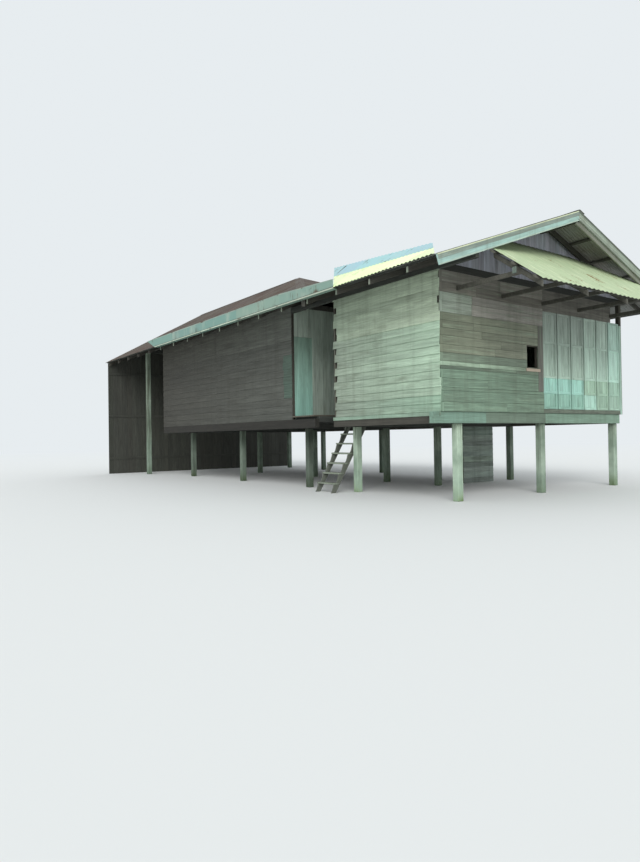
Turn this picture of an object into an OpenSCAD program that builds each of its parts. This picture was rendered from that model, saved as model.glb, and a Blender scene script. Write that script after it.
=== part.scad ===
// Timber house on concrete posts: a gabled room in front, an open landing behind it,
// a long room beyond and a ground-level bay at the far end, under one joined roof.
// The origin is on the ground under the near left corner post. X runs along the gable
// front to the right, Y runs back along the left side.

/* [Posts] */
// Side of a concrete post
post_w = 165; // [150:5:200]
// Height of the posts under the floor beams
post_h = 1660; // [1400:10:2200]
// First to second line of posts, across the house
bay_1 = 2920; // [2700:10:3200]
// Second to third line of posts, across the house
bay_2 = 3210; // [3000:10:3250]
// First to second row of posts, front to back
front_bay = 3350; // [3000:50:3600]
// Second to third row of posts, across the landing
landing_bay = 2150; // [2000:50:2500]
// Spacing of the rows under the rear room
rear_bay = 3850; // [3500:50:4100]

/* [Floor] */
// Width of the floor beams
beam_w = 140; // [120:5:150]
// Height of the beams that carry walls
edge_beam_h = 240; // [220:5:300]
// Height of the beams under the middle of the rear floor
cross_beam_h = 150; // [120:5:160]
// Width of a joist
joist_w = 50; // [40:5:70]
// Height of a joist
joist_h = 150; // [130:5:160]
// Number of joists in each floor
joists = 11; // [9:1:13]
// Thickness of the floor boards
floor_t = 40; // [30:5:50]
// How far the front beam runs on past the left wall
beam_horn = 160; // [100:10:200]

/* [Walls] */
// Thickness of a framed and boarded wall
wall_t = 100; // [80:5:120]
// Outer width of the house
house_w = 7000; // [6900:50:7200]
// Left wall's face from the first line of posts
side_out = 700; // [600:10:800]
// Front wall's face from the first row of posts
front_out = 200; // [180:5:220]
// Height of the front room's walls over the beams
front_wall_h = 2925; // [2800:5:3100]
// Length of the rear room
rear_len = 9100; // [8700:50:9300]
// Width of the bay of tall panels in the front wall
panel_bay = 3490; // [3300:10:3600]
// Height of the tall panels
panel_h = 2320; // [2200:10:2400]
// Gap between two panels
panel_gap = 30; // [20:1:40]
// Thickness of a panel
panel_t = 35; // [25:5:50]
// Width of the window hole
window_w = 420; // [350:10:500]
// Height of the window hole
window_h = 530; // [400:10:600]
// Sill of the window hole over the floor
window_sill = 940; // [800:10:1000]
// Window hole from the panels
window_gap = 200; // [150:10:300]
// Width of the doorway in the rear room
door_w = 610; // [550:10:700]
// Height of the doorways
door_h = 2200; // [2000:10:2300]
// Thickness of the door leaf
door_t = 35; // [25:5:45]
// Running gap round the door leaf
door_gap = 4; // [3:1:6]
// Width of the doorway in the front room's back wall
back_door_w = 800; // [700:10:900]
// Doorway in the back wall from the stairwell
back_door_in = 450; // [300:10:700]
// Gap over the tall panels at the right corner
corner_gap = 420; // [300:10:450]
// Board wall under the front floor from the middle line of posts
low_wall_in = 1030; // [800:10:1300]
// Length of the board wall under the front floor
low_wall_len = 1350; // [1200:10:1500]
// Thickness of the board wall under the front floor
low_wall_t = 50; // [40:5:60]

/* [Roof] */
// Height of the roof sheets at the eaves
eave_z = 4700; // [4600:10:4800]
// Eaves beyond the side walls
eave_out = 1100; // [1000:10:1200]
// Front roof beyond the front wall
gable_out = 1000; // [900:10:1100]
// Slope of the front roof, in degrees
front_pitch = 20.2; // [18:0.1:22]
// Slope of the rear roof, in degrees
rear_pitch = 29.1; // [28:0.1:30]
// Hip's eave from the first row of posts
hip_y = 3100; // [3000:10:3150]
// Hip's eave to the near end of the rear ridge
hip_run = 6900; // [6600:50:7200]
// Rear roof beyond the rear room
bay_len = 3670; // [3400:10:3900]
// End wall of the bay from the end of the roof
end_wall_in = 270; // [200:10:400]
// Envelope of a corrugated sheet
sheet_t = 25; // [18:1:30]
// Height of a purlin
purlin_h = 40; // [30:5:50]
// Width of a purlin
purlin_w = 60; // [50:5:80]
// Number of purlins on a slope
purlins = 6; // [5:1:7]
// First purlin from the eave
first_purlin = 90; // [60:5:120]
// Height of a rafter
rafter_h = 120; // [100:5:130]
// Width of a rafter
rafter_w = 50; // [40:5:60]
// Spacing of the rafters
rafter_gap = 1130; // [1000:10:1200]
// Height of a wall plate
plate_h = 150; // [120:5:170]
// Height of a ridge beam
ridge_h = 200; // [180:5:220]
// Height of a hip or valley beam
hip_h = 150; // [140:5:180]
// Width of a hip or valley beam
hip_w = 60; // [50:5:80]
// Depth of the barge boards
barge_h = 200; // [160:5:220]
// Thickness of the barge boards
barge_t = 25; // [20:1:30]
// Width of each side of a ridge cap
cap_w = 200; // [150:10:250]
// Thickness of a ridge cap
cap_t = 12; // [8:1:15]
// Length of the raised sheets along the near eave
eave_strip = 3050; // [2800:50:3200]
// Lower edge of the raised sheets beyond the eave
raised_lip = 50; // [30:5:50]
// Length of the lower raised sheets up the slope
eave_sheet_w = 770; // [700:10:850]
// Length of the upper raised sheets up the slope
upper_sheet_w = 570; // [450:10:650]
// Slant of the raised sheets' far end against the near end's
far_slant = 1.25; // [1:0.05:1.25]
// Pitch of the first raised sheet over the roof's, in degrees
raise_first = 7.7; // [7:0.1:9]
// Pitch that each further raised sheet adds, in degrees
raise_more = 2.35; // [2:0.05:2.6]
// Height of the gutter's front
gutter_h = 300; // [250:10:320]
// Height of the gutter's front at its near end
gutter_near_h = 210; // [180:10:240]
// Length over which the gutter's front gains its height
gutter_gain = 2200; // [1500:100:3000]
// Width of the gutter
gutter_w = 130; // [100:5:150]
// Thickness of the gutter's folded sheet
gutter_t = 8; // [5:1:10]
// Length of the gutter
gutter_len = 11150; // [10000:50:12000]
// Slant of the gutter's far end
gutter_cut = 700; // [400:50:800]

/* [Canopy] */
// Slope of the canopy over the front, in degrees
canopy_pitch = 36; // [35.5:0.1:36.5]
// Canopy's edge beyond the front wall
canopy_out = 2100; // [2000:10:2200]
// Height of the canopy's edge
canopy_z = 4240; // [4210:5:4250]
// Width of the canopy
canopy_w = 6100; // [5900:10:6150]
// Width of the canopy where it meets the gable
canopy_top_w = 2200; // [1900:10:2250]
// Canopy's cut corners from the front wall
canopy_side = 980; // [900:10:1100]
// Height of the canopy's arms and rafters
arm_h = 90; // [70:5:100]
// Spacing of the canopy's purlins along the house
canopy_purlin_gap = 480; // [400:10:500]

/* [Stair] */
// Steps from the ground to the landing
steps = 8; // [7:1:9]
// Run of the stair
stair_run = 1250; // [1100:10:1300]
// Length of the stairwell from the left side of the house
well_len = 1150; // [1100:10:1200]
// Width of the stair over its strings
stair_w = 700; // [600:10:720]
// Thickness of a string
string_t = 40; // [30:5:50]
// Depth of a string
string_d = 180; // [150:5:200]
// Depth of a tread
tread_d = 200; // [160:5:220]
// Thickness of a tread
tread_t = 40; // [30:5:45]

/* [Hidden] */

// Lines across the house
post_x = [0, bay_1, bay_1 + bay_2];
wall_l = -side_out;
wall_r = house_w - side_out;
ridge_x = (wall_l + wall_r) / 2;
eave_l = wall_l - eave_out;
half_span = ridge_x - eave_l;

// Lines along the house
row_y = [0, front_bay, front_bay + landing_bay, front_bay + landing_bay + rear_bay,
    front_bay + landing_bay + 2 * rear_bay];
front_y = -front_out;
beam_y = front_y + 30;
back_y = row_y[1] + beam_w / 2;
rear_y = row_y[2] - front_out;
rear_end = rear_y + rear_len;
verge_y = front_y - gable_out;
roof_end = rear_end + bay_len;
end_wall_y = roof_end - end_wall_in;
bay_post_y = (rear_end + end_wall_y) / 2;

// Levels
beam_top = post_h + edge_beam_h;
joist_z = post_h + cross_beam_h;
floor_z = joist_z + joist_h;
deck_z = floor_z + floor_t;
front_top = beam_top + front_wall_h;
door_top = deck_z + door_h;
panel_top = deck_z + panel_h;
rise = deck_z / steps;
going = stair_run / steps;

// Roof planes: rise for each millimetre, and heights of the sheets' underside
front_rise = tan(front_pitch);
rear_rise = tan(rear_pitch);
hip_rise = half_span * rear_rise / hip_run;
hip_pitch = atan(hip_rise);
valley_run = half_span * front_rise / hip_rise;
ridge_start = hip_y + hip_run;
valley_end = hip_y + valley_run;
function slope_z(x, rise_x) = eave_z + (x - eave_l) * rise_x;
function purlin_v(pitch) = purlin_h / cos(pitch);
function rafter_v(pitch) = purlin_v(pitch) + rafter_h / cos(pitch);

// Rear walls stop at the plates that the steeper rafters need
rear_plate_top = slope_z(wall_l, rear_rise) - rafter_v(rear_pitch) + 25;
rear_top = rear_plate_top - plate_h;
plate_top = front_top + plate_h;

// Landing and stair
well_x = wall_l + well_len;
well_y = back_y + stair_w + 100;
stair_y = back_y + 50;

// Canopy
canopy_y = front_y - canopy_out;
canopy_rise = tan(canopy_pitch);
canopy_side_y = front_y - canopy_side;
canopy_left = ridge_x - canopy_w / 2;
canopy_post_x = [for (i = [0:4]) canopy_left + 100 + i * (canopy_w - 200) / 4];
function canopy_under(y) = canopy_z + (y - canopy_y) * canopy_rise;

far = 40000;
seat = 0.3;
wood = "#6b5a48";
pale_wood = "#a3a189";
cream = "#dcd9a4";
rust = "#5f4f47";
zinc = "#a9b5a5";
concrete = "#aab39a";

// Shared forms

module slab(x0, x1, y0, y1, z0, z1) {
    translate([x0, y0, z0]) cube([x1 - x0, y1 - y0, z1 - z0]);
}

module both_sides() {
    children();
    translate([2 * ridge_x, 0, 0]) mirror([1, 0, 0]) children();
}

// A strip along the left slope between two lines across the house
module slope_strip(x0, x1, rise_x, low, high, y0, y1) {
    z0 = slope_z(x0, rise_x);
    z1 = slope_z(x1, rise_x);
    translate([0, y1, 0]) rotate([90, 0, 0]) linear_extrude(y1 - y0)
        polygon([[x0, z0 + low], [x1, z1 + low], [x1, z1 + high], [x0, z0 + high]]);
}

// What stands over a plan outline
module over_plan(points) {
    intersection() {
        children();
        linear_extrude(far) polygon(points);
    }
}

// The plan of each slope, with a margin taken off along hip and valley
function front_plan(margin) = [[eave_l, verge_y], [ridge_x, verge_y],
    [ridge_x, valley_end - margin], [eave_l, hip_y - margin]];
function rear_plan(margin) = [[eave_l, hip_y + margin], [ridge_x, ridge_start + margin],
    [ridge_x, roof_end], [eave_l, roof_end]];

// A beam that climbs along a line in plan from the eave's corner
module corner_beam(run, drop) {
    length = norm([half_span, run]);
    turn = atan2(run, half_span);
    climb = (run == hip_run) ? half_span * rear_rise : half_span * front_rise;
    translate([eave_l, hip_y, eave_z - drop]) rotate([0, 0, turn])
        translate([0, hip_w / 2, 0]) rotate([90, 0, 0]) linear_extrude(hip_w)
            polygon([[0, -hip_h], [length, climb - hip_h], [length, climb], [0, 0]]);
}

// Posts

module concrete_posts() {
    color(concrete) for (x = post_x, y = row_y)
        slab(x - post_w / 2, x + post_w / 2, y - post_w / 2, y + post_w / 2, 0, post_h);
}

module tall_posts() {
    mid = wall_l + wall_t / 2;
    color(concrete) both_sides()
        slab(mid - post_w / 2, mid + post_w / 2, bay_post_y - post_w / 2,
            bay_post_y + post_w / 2, 0, rear_top);
}

// Floor frame

module front_beam() {
    color(wood) slab(wall_l - beam_horn, wall_r - wall_t, beam_y, beam_y + beam_w, post_h, beam_top);
}

module cross_beams() {
    x0 = wall_l + beam_w;
    x1 = wall_r - beam_w;
    color(wood) {
        slab(x0, x1, back_y - beam_w, back_y, post_h, beam_top);
        slab(x0, x1, rear_y, rear_y + beam_w, post_h, beam_top);
        for (y = [row_y[3], row_y[4]])
            slab(x0, x1, y - beam_w / 2, y + beam_w / 2, post_h, joist_z);
        slab(x0, x1, rear_end - beam_w, rear_end, post_h, beam_top);
    }
}

module side_beams() {
    color(wood) {
        slab(wall_l, wall_l + beam_w, beam_y + beam_w, back_y, post_h, beam_top);
        slab(wall_l, wall_l + beam_w, well_y, rear_end, post_h, beam_top);
        slab(wall_r - beam_w, wall_r, beam_y + beam_w, rear_end, post_h, beam_top);
    }
}

module joist_row(x0, x1, y0, y1) {
    for (i = [0:joists - 1]) {
        x = x0 + (x1 - x0 - joist_w) * i / (joists - 1);
        slab(x, x + joist_w, y0, y1, joist_z, floor_z);
    }
}

module floor_joists() {
    x0 = wall_l + beam_w;
    x1 = wall_r - beam_w;
    color(wood) {
        joist_row(x0, x1, beam_y + beam_w, back_y - beam_w);
        joist_row(well_x, x1, back_y, rear_y);
        slab(x0, well_x - seat, well_y, well_y + joist_w, joist_z, floor_z);
        for (x = [x0, (x0 + well_x) / 2])
            slab(x, x + joist_w, well_y + joist_w + seat, rear_y, joist_z, floor_z);
        joist_row(x0, x1, rear_y + beam_w, rear_end - beam_w);
    }
}

// Floors

module front_floor() {
    color(wood) slab(wall_l + wall_t, wall_r - wall_t, front_y + wall_t, back_y - wall_t,
        floor_z, deck_z);
}

module landing_floor() {
    color(wood) translate([0, 0, floor_z]) linear_extrude(floor_t)
        polygon([[well_x, back_y], [wall_r, back_y], [wall_r, rear_y], [wall_l, rear_y],
            [wall_l, well_y], [well_x, well_y]]);
}

module rear_floor() {
    color(wood) slab(wall_l + wall_t, wall_r - wall_t, rear_y + wall_t, rear_end - wall_t,
        floor_z, deck_z);
}

// Front room

panel_x = wall_r - wall_t - (panel_bay - wall_t);

module left_wall() {
    color(pale_wood) slab(wall_l, wall_l + wall_t, front_y, back_y, beam_top, front_top);
}

module front_wall() {
    x1 = panel_x - window_gap;
    z0 = deck_z + window_sill;
    color(pale_wood) difference() {
        slab(wall_l + wall_t, panel_x, front_y, front_y + wall_t, beam_top, front_top);
        slab(x1 - window_w, x1, front_y - 1, front_y + wall_t + 1, z0, z0 + window_h);
    }
}

module window_board() {
    x1 = panel_x - window_gap;
    z0 = deck_z + window_sill;
    color("#b3a08e") slab(x1 - window_w - 50, x1 + 50, front_y - 25, front_y, z0 - 80, z0 - 10);
}

module folding_panels() {
    count = 6;
    step = (panel_bay - wall_t) / count;
    color("#b9bfa6") for (i = [0:count - 1])
        slab(panel_x + i * step + panel_gap / 2, panel_x + (i + 1) * step - panel_gap / 2,
            front_y + 10, front_y + 10 + panel_t, deck_z, panel_top);
}

module panel_frame() {
    color(wood) {
        slab(panel_x, wall_r - wall_t, front_y, front_y + wall_t, beam_top, deck_z);
        slab(panel_x, wall_r - wall_t - corner_gap, front_y, front_y + wall_t, panel_top, front_top);
    }
}

module right_wall() {
    post_run = (back_y - front_y - wall_t) / 3;
    color(pale_wood) {
        slab(wall_r - wall_t, wall_r, front_y, back_y, beam_top, panel_top);
        for (i = [0:3])
            slab(wall_r - wall_t, wall_r, front_y + i * post_run, front_y + i * post_run + wall_t,
                panel_top, front_top);
    }
}

module back_wall() {
    door_x = well_x + back_door_in;
    color(pale_wood) difference() {
        slab(wall_l + wall_t, wall_r - wall_t, back_y - wall_t, back_y, beam_top, front_top);
        slab(door_x, door_x + back_door_w, back_y - wall_t - 1, back_y + 1, deck_z, door_top);
    }
}

module front_gable() {
    v = purlin_v(front_pitch);
    color(wood) difference() {
        translate([0, front_y + wall_t, 0]) rotate([90, 0, 0]) linear_extrude(wall_t)
            polygon([[wall_l + wall_t, plate_top], [wall_r - wall_t, plate_top],
                [wall_r - wall_t, slope_z(wall_l + wall_t, front_rise) - v],
                [ridge_x, slope_z(ridge_x, front_rise) - v],
                [wall_l + wall_t, slope_z(wall_l + wall_t, front_rise) - v]]);
        ridge_beams();
    }
}

// Rear room

module rear_left_wall() {
    color(wood) slab(wall_l, wall_l + wall_t, rear_y, rear_end, beam_top, rear_top);
}

module rear_right_wall() {
    color(wood) slab(wall_r - wall_t, wall_r, rear_y, rear_end, beam_top, rear_top);
}

module rear_front_wall() {
    x0 = wall_l + wall_t;
    color(pale_wood) difference() {
        slab(x0, wall_r - wall_t, rear_y, rear_y + wall_t, beam_top, rear_top);
        slab(x0 - 1, x0 + door_w, rear_y - 1, rear_y + wall_t + 1, deck_z, door_top);
    }
}

module rear_door() {
    x0 = wall_l + wall_t;
    color("#8fb5a4") slab(x0 + door_gap, x0 + door_w, rear_y + 10,
        rear_y + 10 + door_t, deck_z + door_gap, door_top - door_gap);
}

module rear_back_wall() {
    color(wood) slab(wall_l + wall_t, wall_r - wall_t, rear_end - wall_t, rear_end,
        beam_top, rear_top);
}

module rear_end_wall() {
    v = purlin_v(rear_pitch);
    x0 = eave_l + 50;
    z0 = slope_z(x0, rear_rise) - v;
    color(wood) translate([0, end_wall_y + wall_t / 2, 0]) rotate([90, 0, 0])
        linear_extrude(wall_t / 2)
            polygon([[x0, 0], [2 * ridge_x - x0, 0], [2 * ridge_x - x0, z0],
                [ridge_x, slope_z(ridge_x, rear_rise) - v], [x0, z0]]);
}

module low_wall() {
    x0 = post_x[1] + low_wall_in;
    color(wood) slab(x0, x0 + low_wall_len, row_y[1] - low_wall_t / 2, row_y[1] + low_wall_t / 2,
        0, post_h);
}

// Roof frame

module wall_plates() {
    color(wood) both_sides() {
        slab(wall_l, wall_l + wall_t, verge_y + barge_t, rear_y, front_top, plate_top);
        slab(wall_l, wall_l + wall_t, rear_y, end_wall_y, rear_top, rear_plate_top);
    }
}

module king_post(y, z0, rise_x) {
    slab(ridge_x - wall_t / 2, ridge_x + wall_t / 2, y, y + wall_t, z0,
        slope_z(ridge_x - rafter_w / 2, rise_x) - 40 - ridge_h);
}

module tie_beams() {
    x0 = wall_l + wall_t;
    x1 = wall_r - wall_t;
    color(wood) {
        slab(x0, x1, front_y, front_y + wall_t, front_top, plate_top);
        slab(x0, x1, back_y - wall_t, back_y, front_top, plate_top);
        king_post(back_y - wall_t, plate_top, front_rise);
        slab(x0, x1, rear_y, rear_y + wall_t, rear_top, rear_plate_top);
        for (y = [rear_end - wall_t, bay_post_y - wall_t / 2]) {
            slab(x0, x1, y, y + wall_t, rear_top, rear_plate_top);
            king_post(y, rear_plate_top, rear_rise);
        }
    }
}

module ridge_beams() {
    x0 = ridge_x - rafter_w / 2;
    z_front = slope_z(x0, front_rise) - 40;
    z_rear = slope_z(x0, rear_rise) - 40;
    color(wood) {
        slab(x0, x0 + rafter_w, verge_y + barge_t, valley_end - 200, z_front - ridge_h, z_front);
        slab(x0, x0 + rafter_w, ridge_start, end_wall_y, z_rear - ridge_h, z_rear);
    }
}

module rafter(y, pitch, rise_x, foot) {
    slope_strip(foot, ridge_x - rafter_w / 2, rise_x, -rafter_v(pitch), -purlin_v(pitch),
        y - rafter_w / 2, y + rafter_w / 2);
}

rafter_foot = eave_l + 80;
first_rafter = front_y - 150;

module front_rafters() {
    color(wood) difference() {
        both_sides() {
            rafter(verge_y + barge_t + rafter_w / 2, front_pitch, front_rise, rafter_foot);
            for (y = [first_rafter:rafter_gap:hip_y])
                rafter(y, front_pitch, front_rise, rafter_foot);
        }
        wall_plates();
    }
}

module rear_rafters() {
    first = first_rafter + rafter_gap * ceil((hip_y + 600 - first_rafter) / rafter_gap);
    margin = hip_w / 2 * norm([half_span, hip_run]) / half_span;
    color(wood) difference() {
        both_sides() over_plan(rear_plan(margin)) for (y = [first:rafter_gap:end_wall_y])
            rafter(y, rear_pitch, rear_rise, rafter_foot);
        wall_plates();
    }
}

module hip_beams() {
    hip_len = norm([half_span, hip_run]);
    valley_len = norm([half_span, valley_run]);
    hip_drop = purlin_v(rear_pitch) + hip_w / 2 * rear_rise * hip_run / hip_len;
    valley_drop = purlin_v(front_pitch) + 5;
    color(wood) difference() {
        both_sides() {
            over_plan([[rafter_foot, verge_y], [ridge_x, verge_y],
                [ridge_x, ridge_start], [rafter_foot, ridge_start]])
                corner_beam(hip_run, hip_drop);
            over_plan([[rafter_foot, verge_y], [ridge_x - rafter_w / 2, verge_y],
                [ridge_x - rafter_w / 2, valley_end], [rafter_foot, valley_end]])
                corner_beam(valley_run, valley_drop);
        }
        wall_plates();
    }
}

function purlin_x(i) = eave_l + first_purlin
    + i * (half_span - first_purlin - purlin_w - 60) / (purlins - 1);

module front_purlins() {
    color(wood) both_sides() over_plan(front_plan(0)) for (i = [0:purlins - 1])
        slope_strip(purlin_x(i), purlin_x(i) + purlin_w, front_rise, -purlin_v(front_pitch), 0,
            verge_y + barge_t, valley_end);
}

// A strip along the hip between two lines along the house
module hip_strip(y0, y1, low, high) {
    z0 = eave_z + (y0 - hip_y) * hip_rise;
    z1 = eave_z + (y1 - hip_y) * hip_rise;
    translate([eave_l, 0, 0]) rotate([90, 0, 90]) linear_extrude(2 * half_span)
        polygon([[y0, z0 + low], [y1, z1 + low], [y1, z1 + high], [y0, z0 + high]]);
}

hip_plan = [[eave_l, hip_y], [ridge_x, valley_end], [2 * ridge_x - eave_l, hip_y],
    [ridge_x, ridge_start]];

module rear_purlins() {
    color(wood) {
        both_sides() over_plan(rear_plan(0)) for (i = [0:purlins - 1])
            slope_strip(purlin_x(i), purlin_x(i) + purlin_w, rear_rise, -purlin_v(rear_pitch), 0,
                hip_y, roof_end);
        for (i = [1:purlins - 1]) {
            y = hip_y + i * hip_run / purlins;
            over_plan(hip_plan) hip_strip(y, y + purlin_w, -purlin_v(hip_pitch), 0);
        }
    }
}

// Roof covering

module front_slope() {
    over_plan(front_plan(0))
        slope_strip(eave_l, ridge_x, front_rise, 0, sheet_t / cos(front_pitch), verge_y, valley_end);
}

module rear_slope() {
    over_plan(rear_plan(0))
        slope_strip(eave_l, ridge_x, rear_rise, 0, sheet_t / cos(rear_pitch), hip_y, roof_end);
}

module on_right() {
    translate([2 * ridge_x, 0, 0]) mirror([1, 0, 0]) children();
}

module front_roof_left() {
    color(zinc) front_slope();
}

module front_roof_right() {
    color(zinc) on_right() front_slope();
}

module rear_roof_left() {
    color(rust) rear_slope();
}

module rear_roof_right() {
    color(rust) on_right() rear_slope();
}

module hip_roof() {
    color(rust) over_plan(hip_plan) hip_strip(hip_y, ridge_start, 0, sheet_t / cos(hip_pitch));
}

// The left wing of a folded cap over a ridge; the two wings meet on the ridge line
module ridge_cap(rise_x, pitch, y0, y1) {
    z = slope_z(ridge_x, rise_x) + sheet_t / cos(pitch);
    x = cap_w * cos(pitch);
    up = cap_t / cos(pitch);
    edge = seat / 2;
    translate([0, y1, 0]) rotate([90, 0, 0]) linear_extrude(y1 - y0)
        polygon([[ridge_x - x, z - x * rise_x], [ridge_x - edge, z - edge * rise_x],
            [ridge_x - edge, z - edge * rise_x + up], [ridge_x - x, z - x * rise_x + up]]);
}

module ridge_caps() {
    color(zinc) both_sides() {
        ridge_cap(front_rise, front_pitch, verge_y, valley_end - cap_w);
        ridge_cap(rear_rise, rear_pitch, ridge_start + cap_w, roof_end);
    }
}

// Each board's foot is cut square to its length
module barge_boards() {
    drop = barge_h / cos(front_pitch);
    color(zinc) both_sides() translate([0, verge_y + barge_t, 0]) rotate([90, 0, 0])
        linear_extrude(barge_t)
            polygon([[eave_l, eave_z],
                [eave_l + barge_h * sin(front_pitch), eave_z - barge_h * cos(front_pitch)],
                [ridge_x - 1, slope_z(ridge_x - 1, front_rise) - drop],
                [ridge_x - 1, slope_z(ridge_x - 1, front_rise)]]);
}

// Raised sheets over the near eave: a lower row that bears on the roof's edge, each pitched
// a little more than the last, and an upper row in the same planes. Tapered packing pieces
// on the roof carry them. Both ends are cut on the slant.
raised = 6;
sheet_step = eave_strip / 4;
roof_top_z = eave_z + sheet_t / cos(front_pitch);
raised_x = eave_l - raised_lip;
raised_end = verge_y + eave_strip;
function tilt(i) = front_pitch + raise_first + raise_more * i;
function raised_z(x, i) = roof_top_z + (x - eave_l) * tan(tilt(i));

module raised_plan() {
    run = eave_sheet_w + upper_sheet_w;
    over_plan([[raised_x, verge_y], [raised_x + run, verge_y + run],
        [raised_x + run, raised_end + run * far_slant], [raised_x, raised_end]])
        children();
}

// Pieces of one profile under sheet i, from one distance along it to another
module raised_profile(i, y, length, points) {
    translate([0, verge_y + i * sheet_step + y + length, 0]) rotate([90, 0, 0])
        linear_extrude(length) polygon(points);
}

module raised_row(from, to) {
    raised_plan() for (i = [0:raised - 1]) {
        x0 = raised_x + from * cos(tilt(i));
        x1 = raised_x + to * cos(tilt(i));
        up = sheet_t / cos(tilt(i));
        raised_profile(i, seat, sheet_step - 2 * seat, [[x0, raised_z(x0, i)],
            [x1, raised_z(x1, i)], [x1, raised_z(x1, i) + up], [x0, raised_z(x0, i) + up]]);
    }
}

module eave_sheets() {
    color(cream) raised_row(0, eave_sheet_w - seat);
}

module upper_sheets() {
    color(zinc) raised_row(eave_sheet_w, eave_sheet_w + upper_sheet_w);
}

module eave_battens() {
    color(wood) raised_plan() for (i = [0:raised - 1], y = [seat, sheet_step - seat - purlin_h]) {
        x0 = eave_l + cap_w;
        x1 = raised_x + (eave_sheet_w + upper_sheet_w) * cos(tilt(i)) - purlin_h;
        raised_profile(i, y, purlin_h, [[x0, roof_top_z + (x0 - eave_l) * front_rise],
            [x1, roof_top_z + (x1 - eave_l) * front_rise], [x1, raised_z(x1, i)],
            [x0, raised_z(x0, i)]]);
    }
}

module gutter() {
    x0 = rafter_foot - gutter_w;
    z0 = eave_z - 20;
    bottom = gutter_len - gutter_cut;
    color(zinc) translate([x0, raised_end + gutter_t + seat, z0]) {
        rotate([90, 0, 90]) linear_extrude(gutter_t)
            polygon([[0, 0], [bottom, 0], [gutter_len, gutter_h], [gutter_gain, gutter_h],
                [0, gutter_near_h]]);
        slab(gutter_t, gutter_w, 0, bottom, 0, gutter_t);
    }
}

// Canopy over the front

module canopy_strip(x0, x1, y0, y1, low, high) {
    translate([x0, 0, 0]) rotate([90, 0, 90]) linear_extrude(x1 - x0)
        polygon([[y0, canopy_under(y0) + low], [y1, canopy_under(y1) + low],
            [y1, canopy_under(y1) + high], [y0, canopy_under(y0) + high]]);
}

module canopy_sheet() {
    top = canopy_top_w / 2;
    right = 2 * ridge_x - canopy_left;
    color(cream) over_plan([[canopy_left, canopy_y], [right, canopy_y], [right, canopy_side_y],
        [ridge_x + top, front_y], [ridge_x - top, front_y], [canopy_left, canopy_side_y]])
        canopy_strip(canopy_left, right, canopy_y, front_y, 0, sheet_t / cos(canopy_pitch));
}

module canopy_frame() {
    v = purlin_h / cos(canopy_pitch);
    depth = arm_h / cos(canopy_pitch);
    arm_z = canopy_z + 200;
    arm_y = canopy_y + (arm_z - canopy_z + v + depth) / canopy_rise;
    color(wood) {
        for (i = [0:2]) {
            y = canopy_y + 80 + i * canopy_purlin_gap;
            canopy_strip(canopy_left - purlin_w, 2 * ridge_x - canopy_left + purlin_w, y,
                y + purlin_w, -v, 0);
        }
        for (x = canopy_post_x) {
            inner = abs(x - ridge_x) < canopy_top_w;
            y1 = inner ? front_y : canopy_side_y;
            canopy_strip(x - rafter_w / 2, x + rafter_w / 2, canopy_y + 40, y1, -v - depth, -v);
            slab(x - rafter_w / 2, x + rafter_w / 2, arm_y, front_y, arm_z, arm_z + arm_h);
        }
    }
}

// Stair

// Middle of a string at a height, and half its width along the level
function string_x(z) = well_x - tread_d / 2 - (steps - 1) * going + (z + tread_t / 2) * going / rise;
string_half = string_d / 2 * norm([rise, going]) / rise;

module stair_string(y) {
    foot = string_x(0) + string_half;
    translate([0, y + string_t, 0]) rotate([90, 0, 0]) linear_extrude(string_t)
        polygon([[string_x(0) - string_half, 0], [foot, 0],
            [well_x, (well_x - foot) * rise / going], [well_x, floor_z],
            [string_x(floor_z) - string_half, floor_z]]);
}

module stair_strings() {
    color(pale_wood) {
        stair_string(stair_y);
        stair_string(stair_y + stair_w - string_t);
    }
}

module stair_treads() {
    color("#b9b9a4") for (i = [1:steps - 1]) {
        x1 = well_x - (steps - 1 - i) * going;
        slab(x1 - tread_d, x1, stair_y + string_t, stair_y + stair_w - string_t,
            i * rise - tread_t, i * rise);
    }
}

concrete_posts();
tall_posts();
front_beam();
cross_beams();
side_beams();
floor_joists();
front_floor();
landing_floor();
rear_floor();
left_wall();
front_wall();
window_board();
folding_panels();
panel_frame();
right_wall();
back_wall();
front_gable();
rear_left_wall();
rear_right_wall();
rear_front_wall();
rear_door();
rear_back_wall();
rear_end_wall();
low_wall();
wall_plates();
tie_beams();
ridge_beams();
front_rafters();
rear_rafters();
hip_beams();
front_purlins();
rear_purlins();
front_roof_left();
front_roof_right();
rear_roof_left();
rear_roof_right();
hip_roof();
ridge_caps();
barge_boards();
eave_battens();
eave_sheets();
upper_sheets();
gutter();
canopy_sheet();
canopy_frame();
stair_strings();
stair_treads();
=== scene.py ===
# Timber house on concrete posts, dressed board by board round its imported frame.
import math
import random

import bmesh
import bpy
from mathutils import Matrix, Vector


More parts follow.
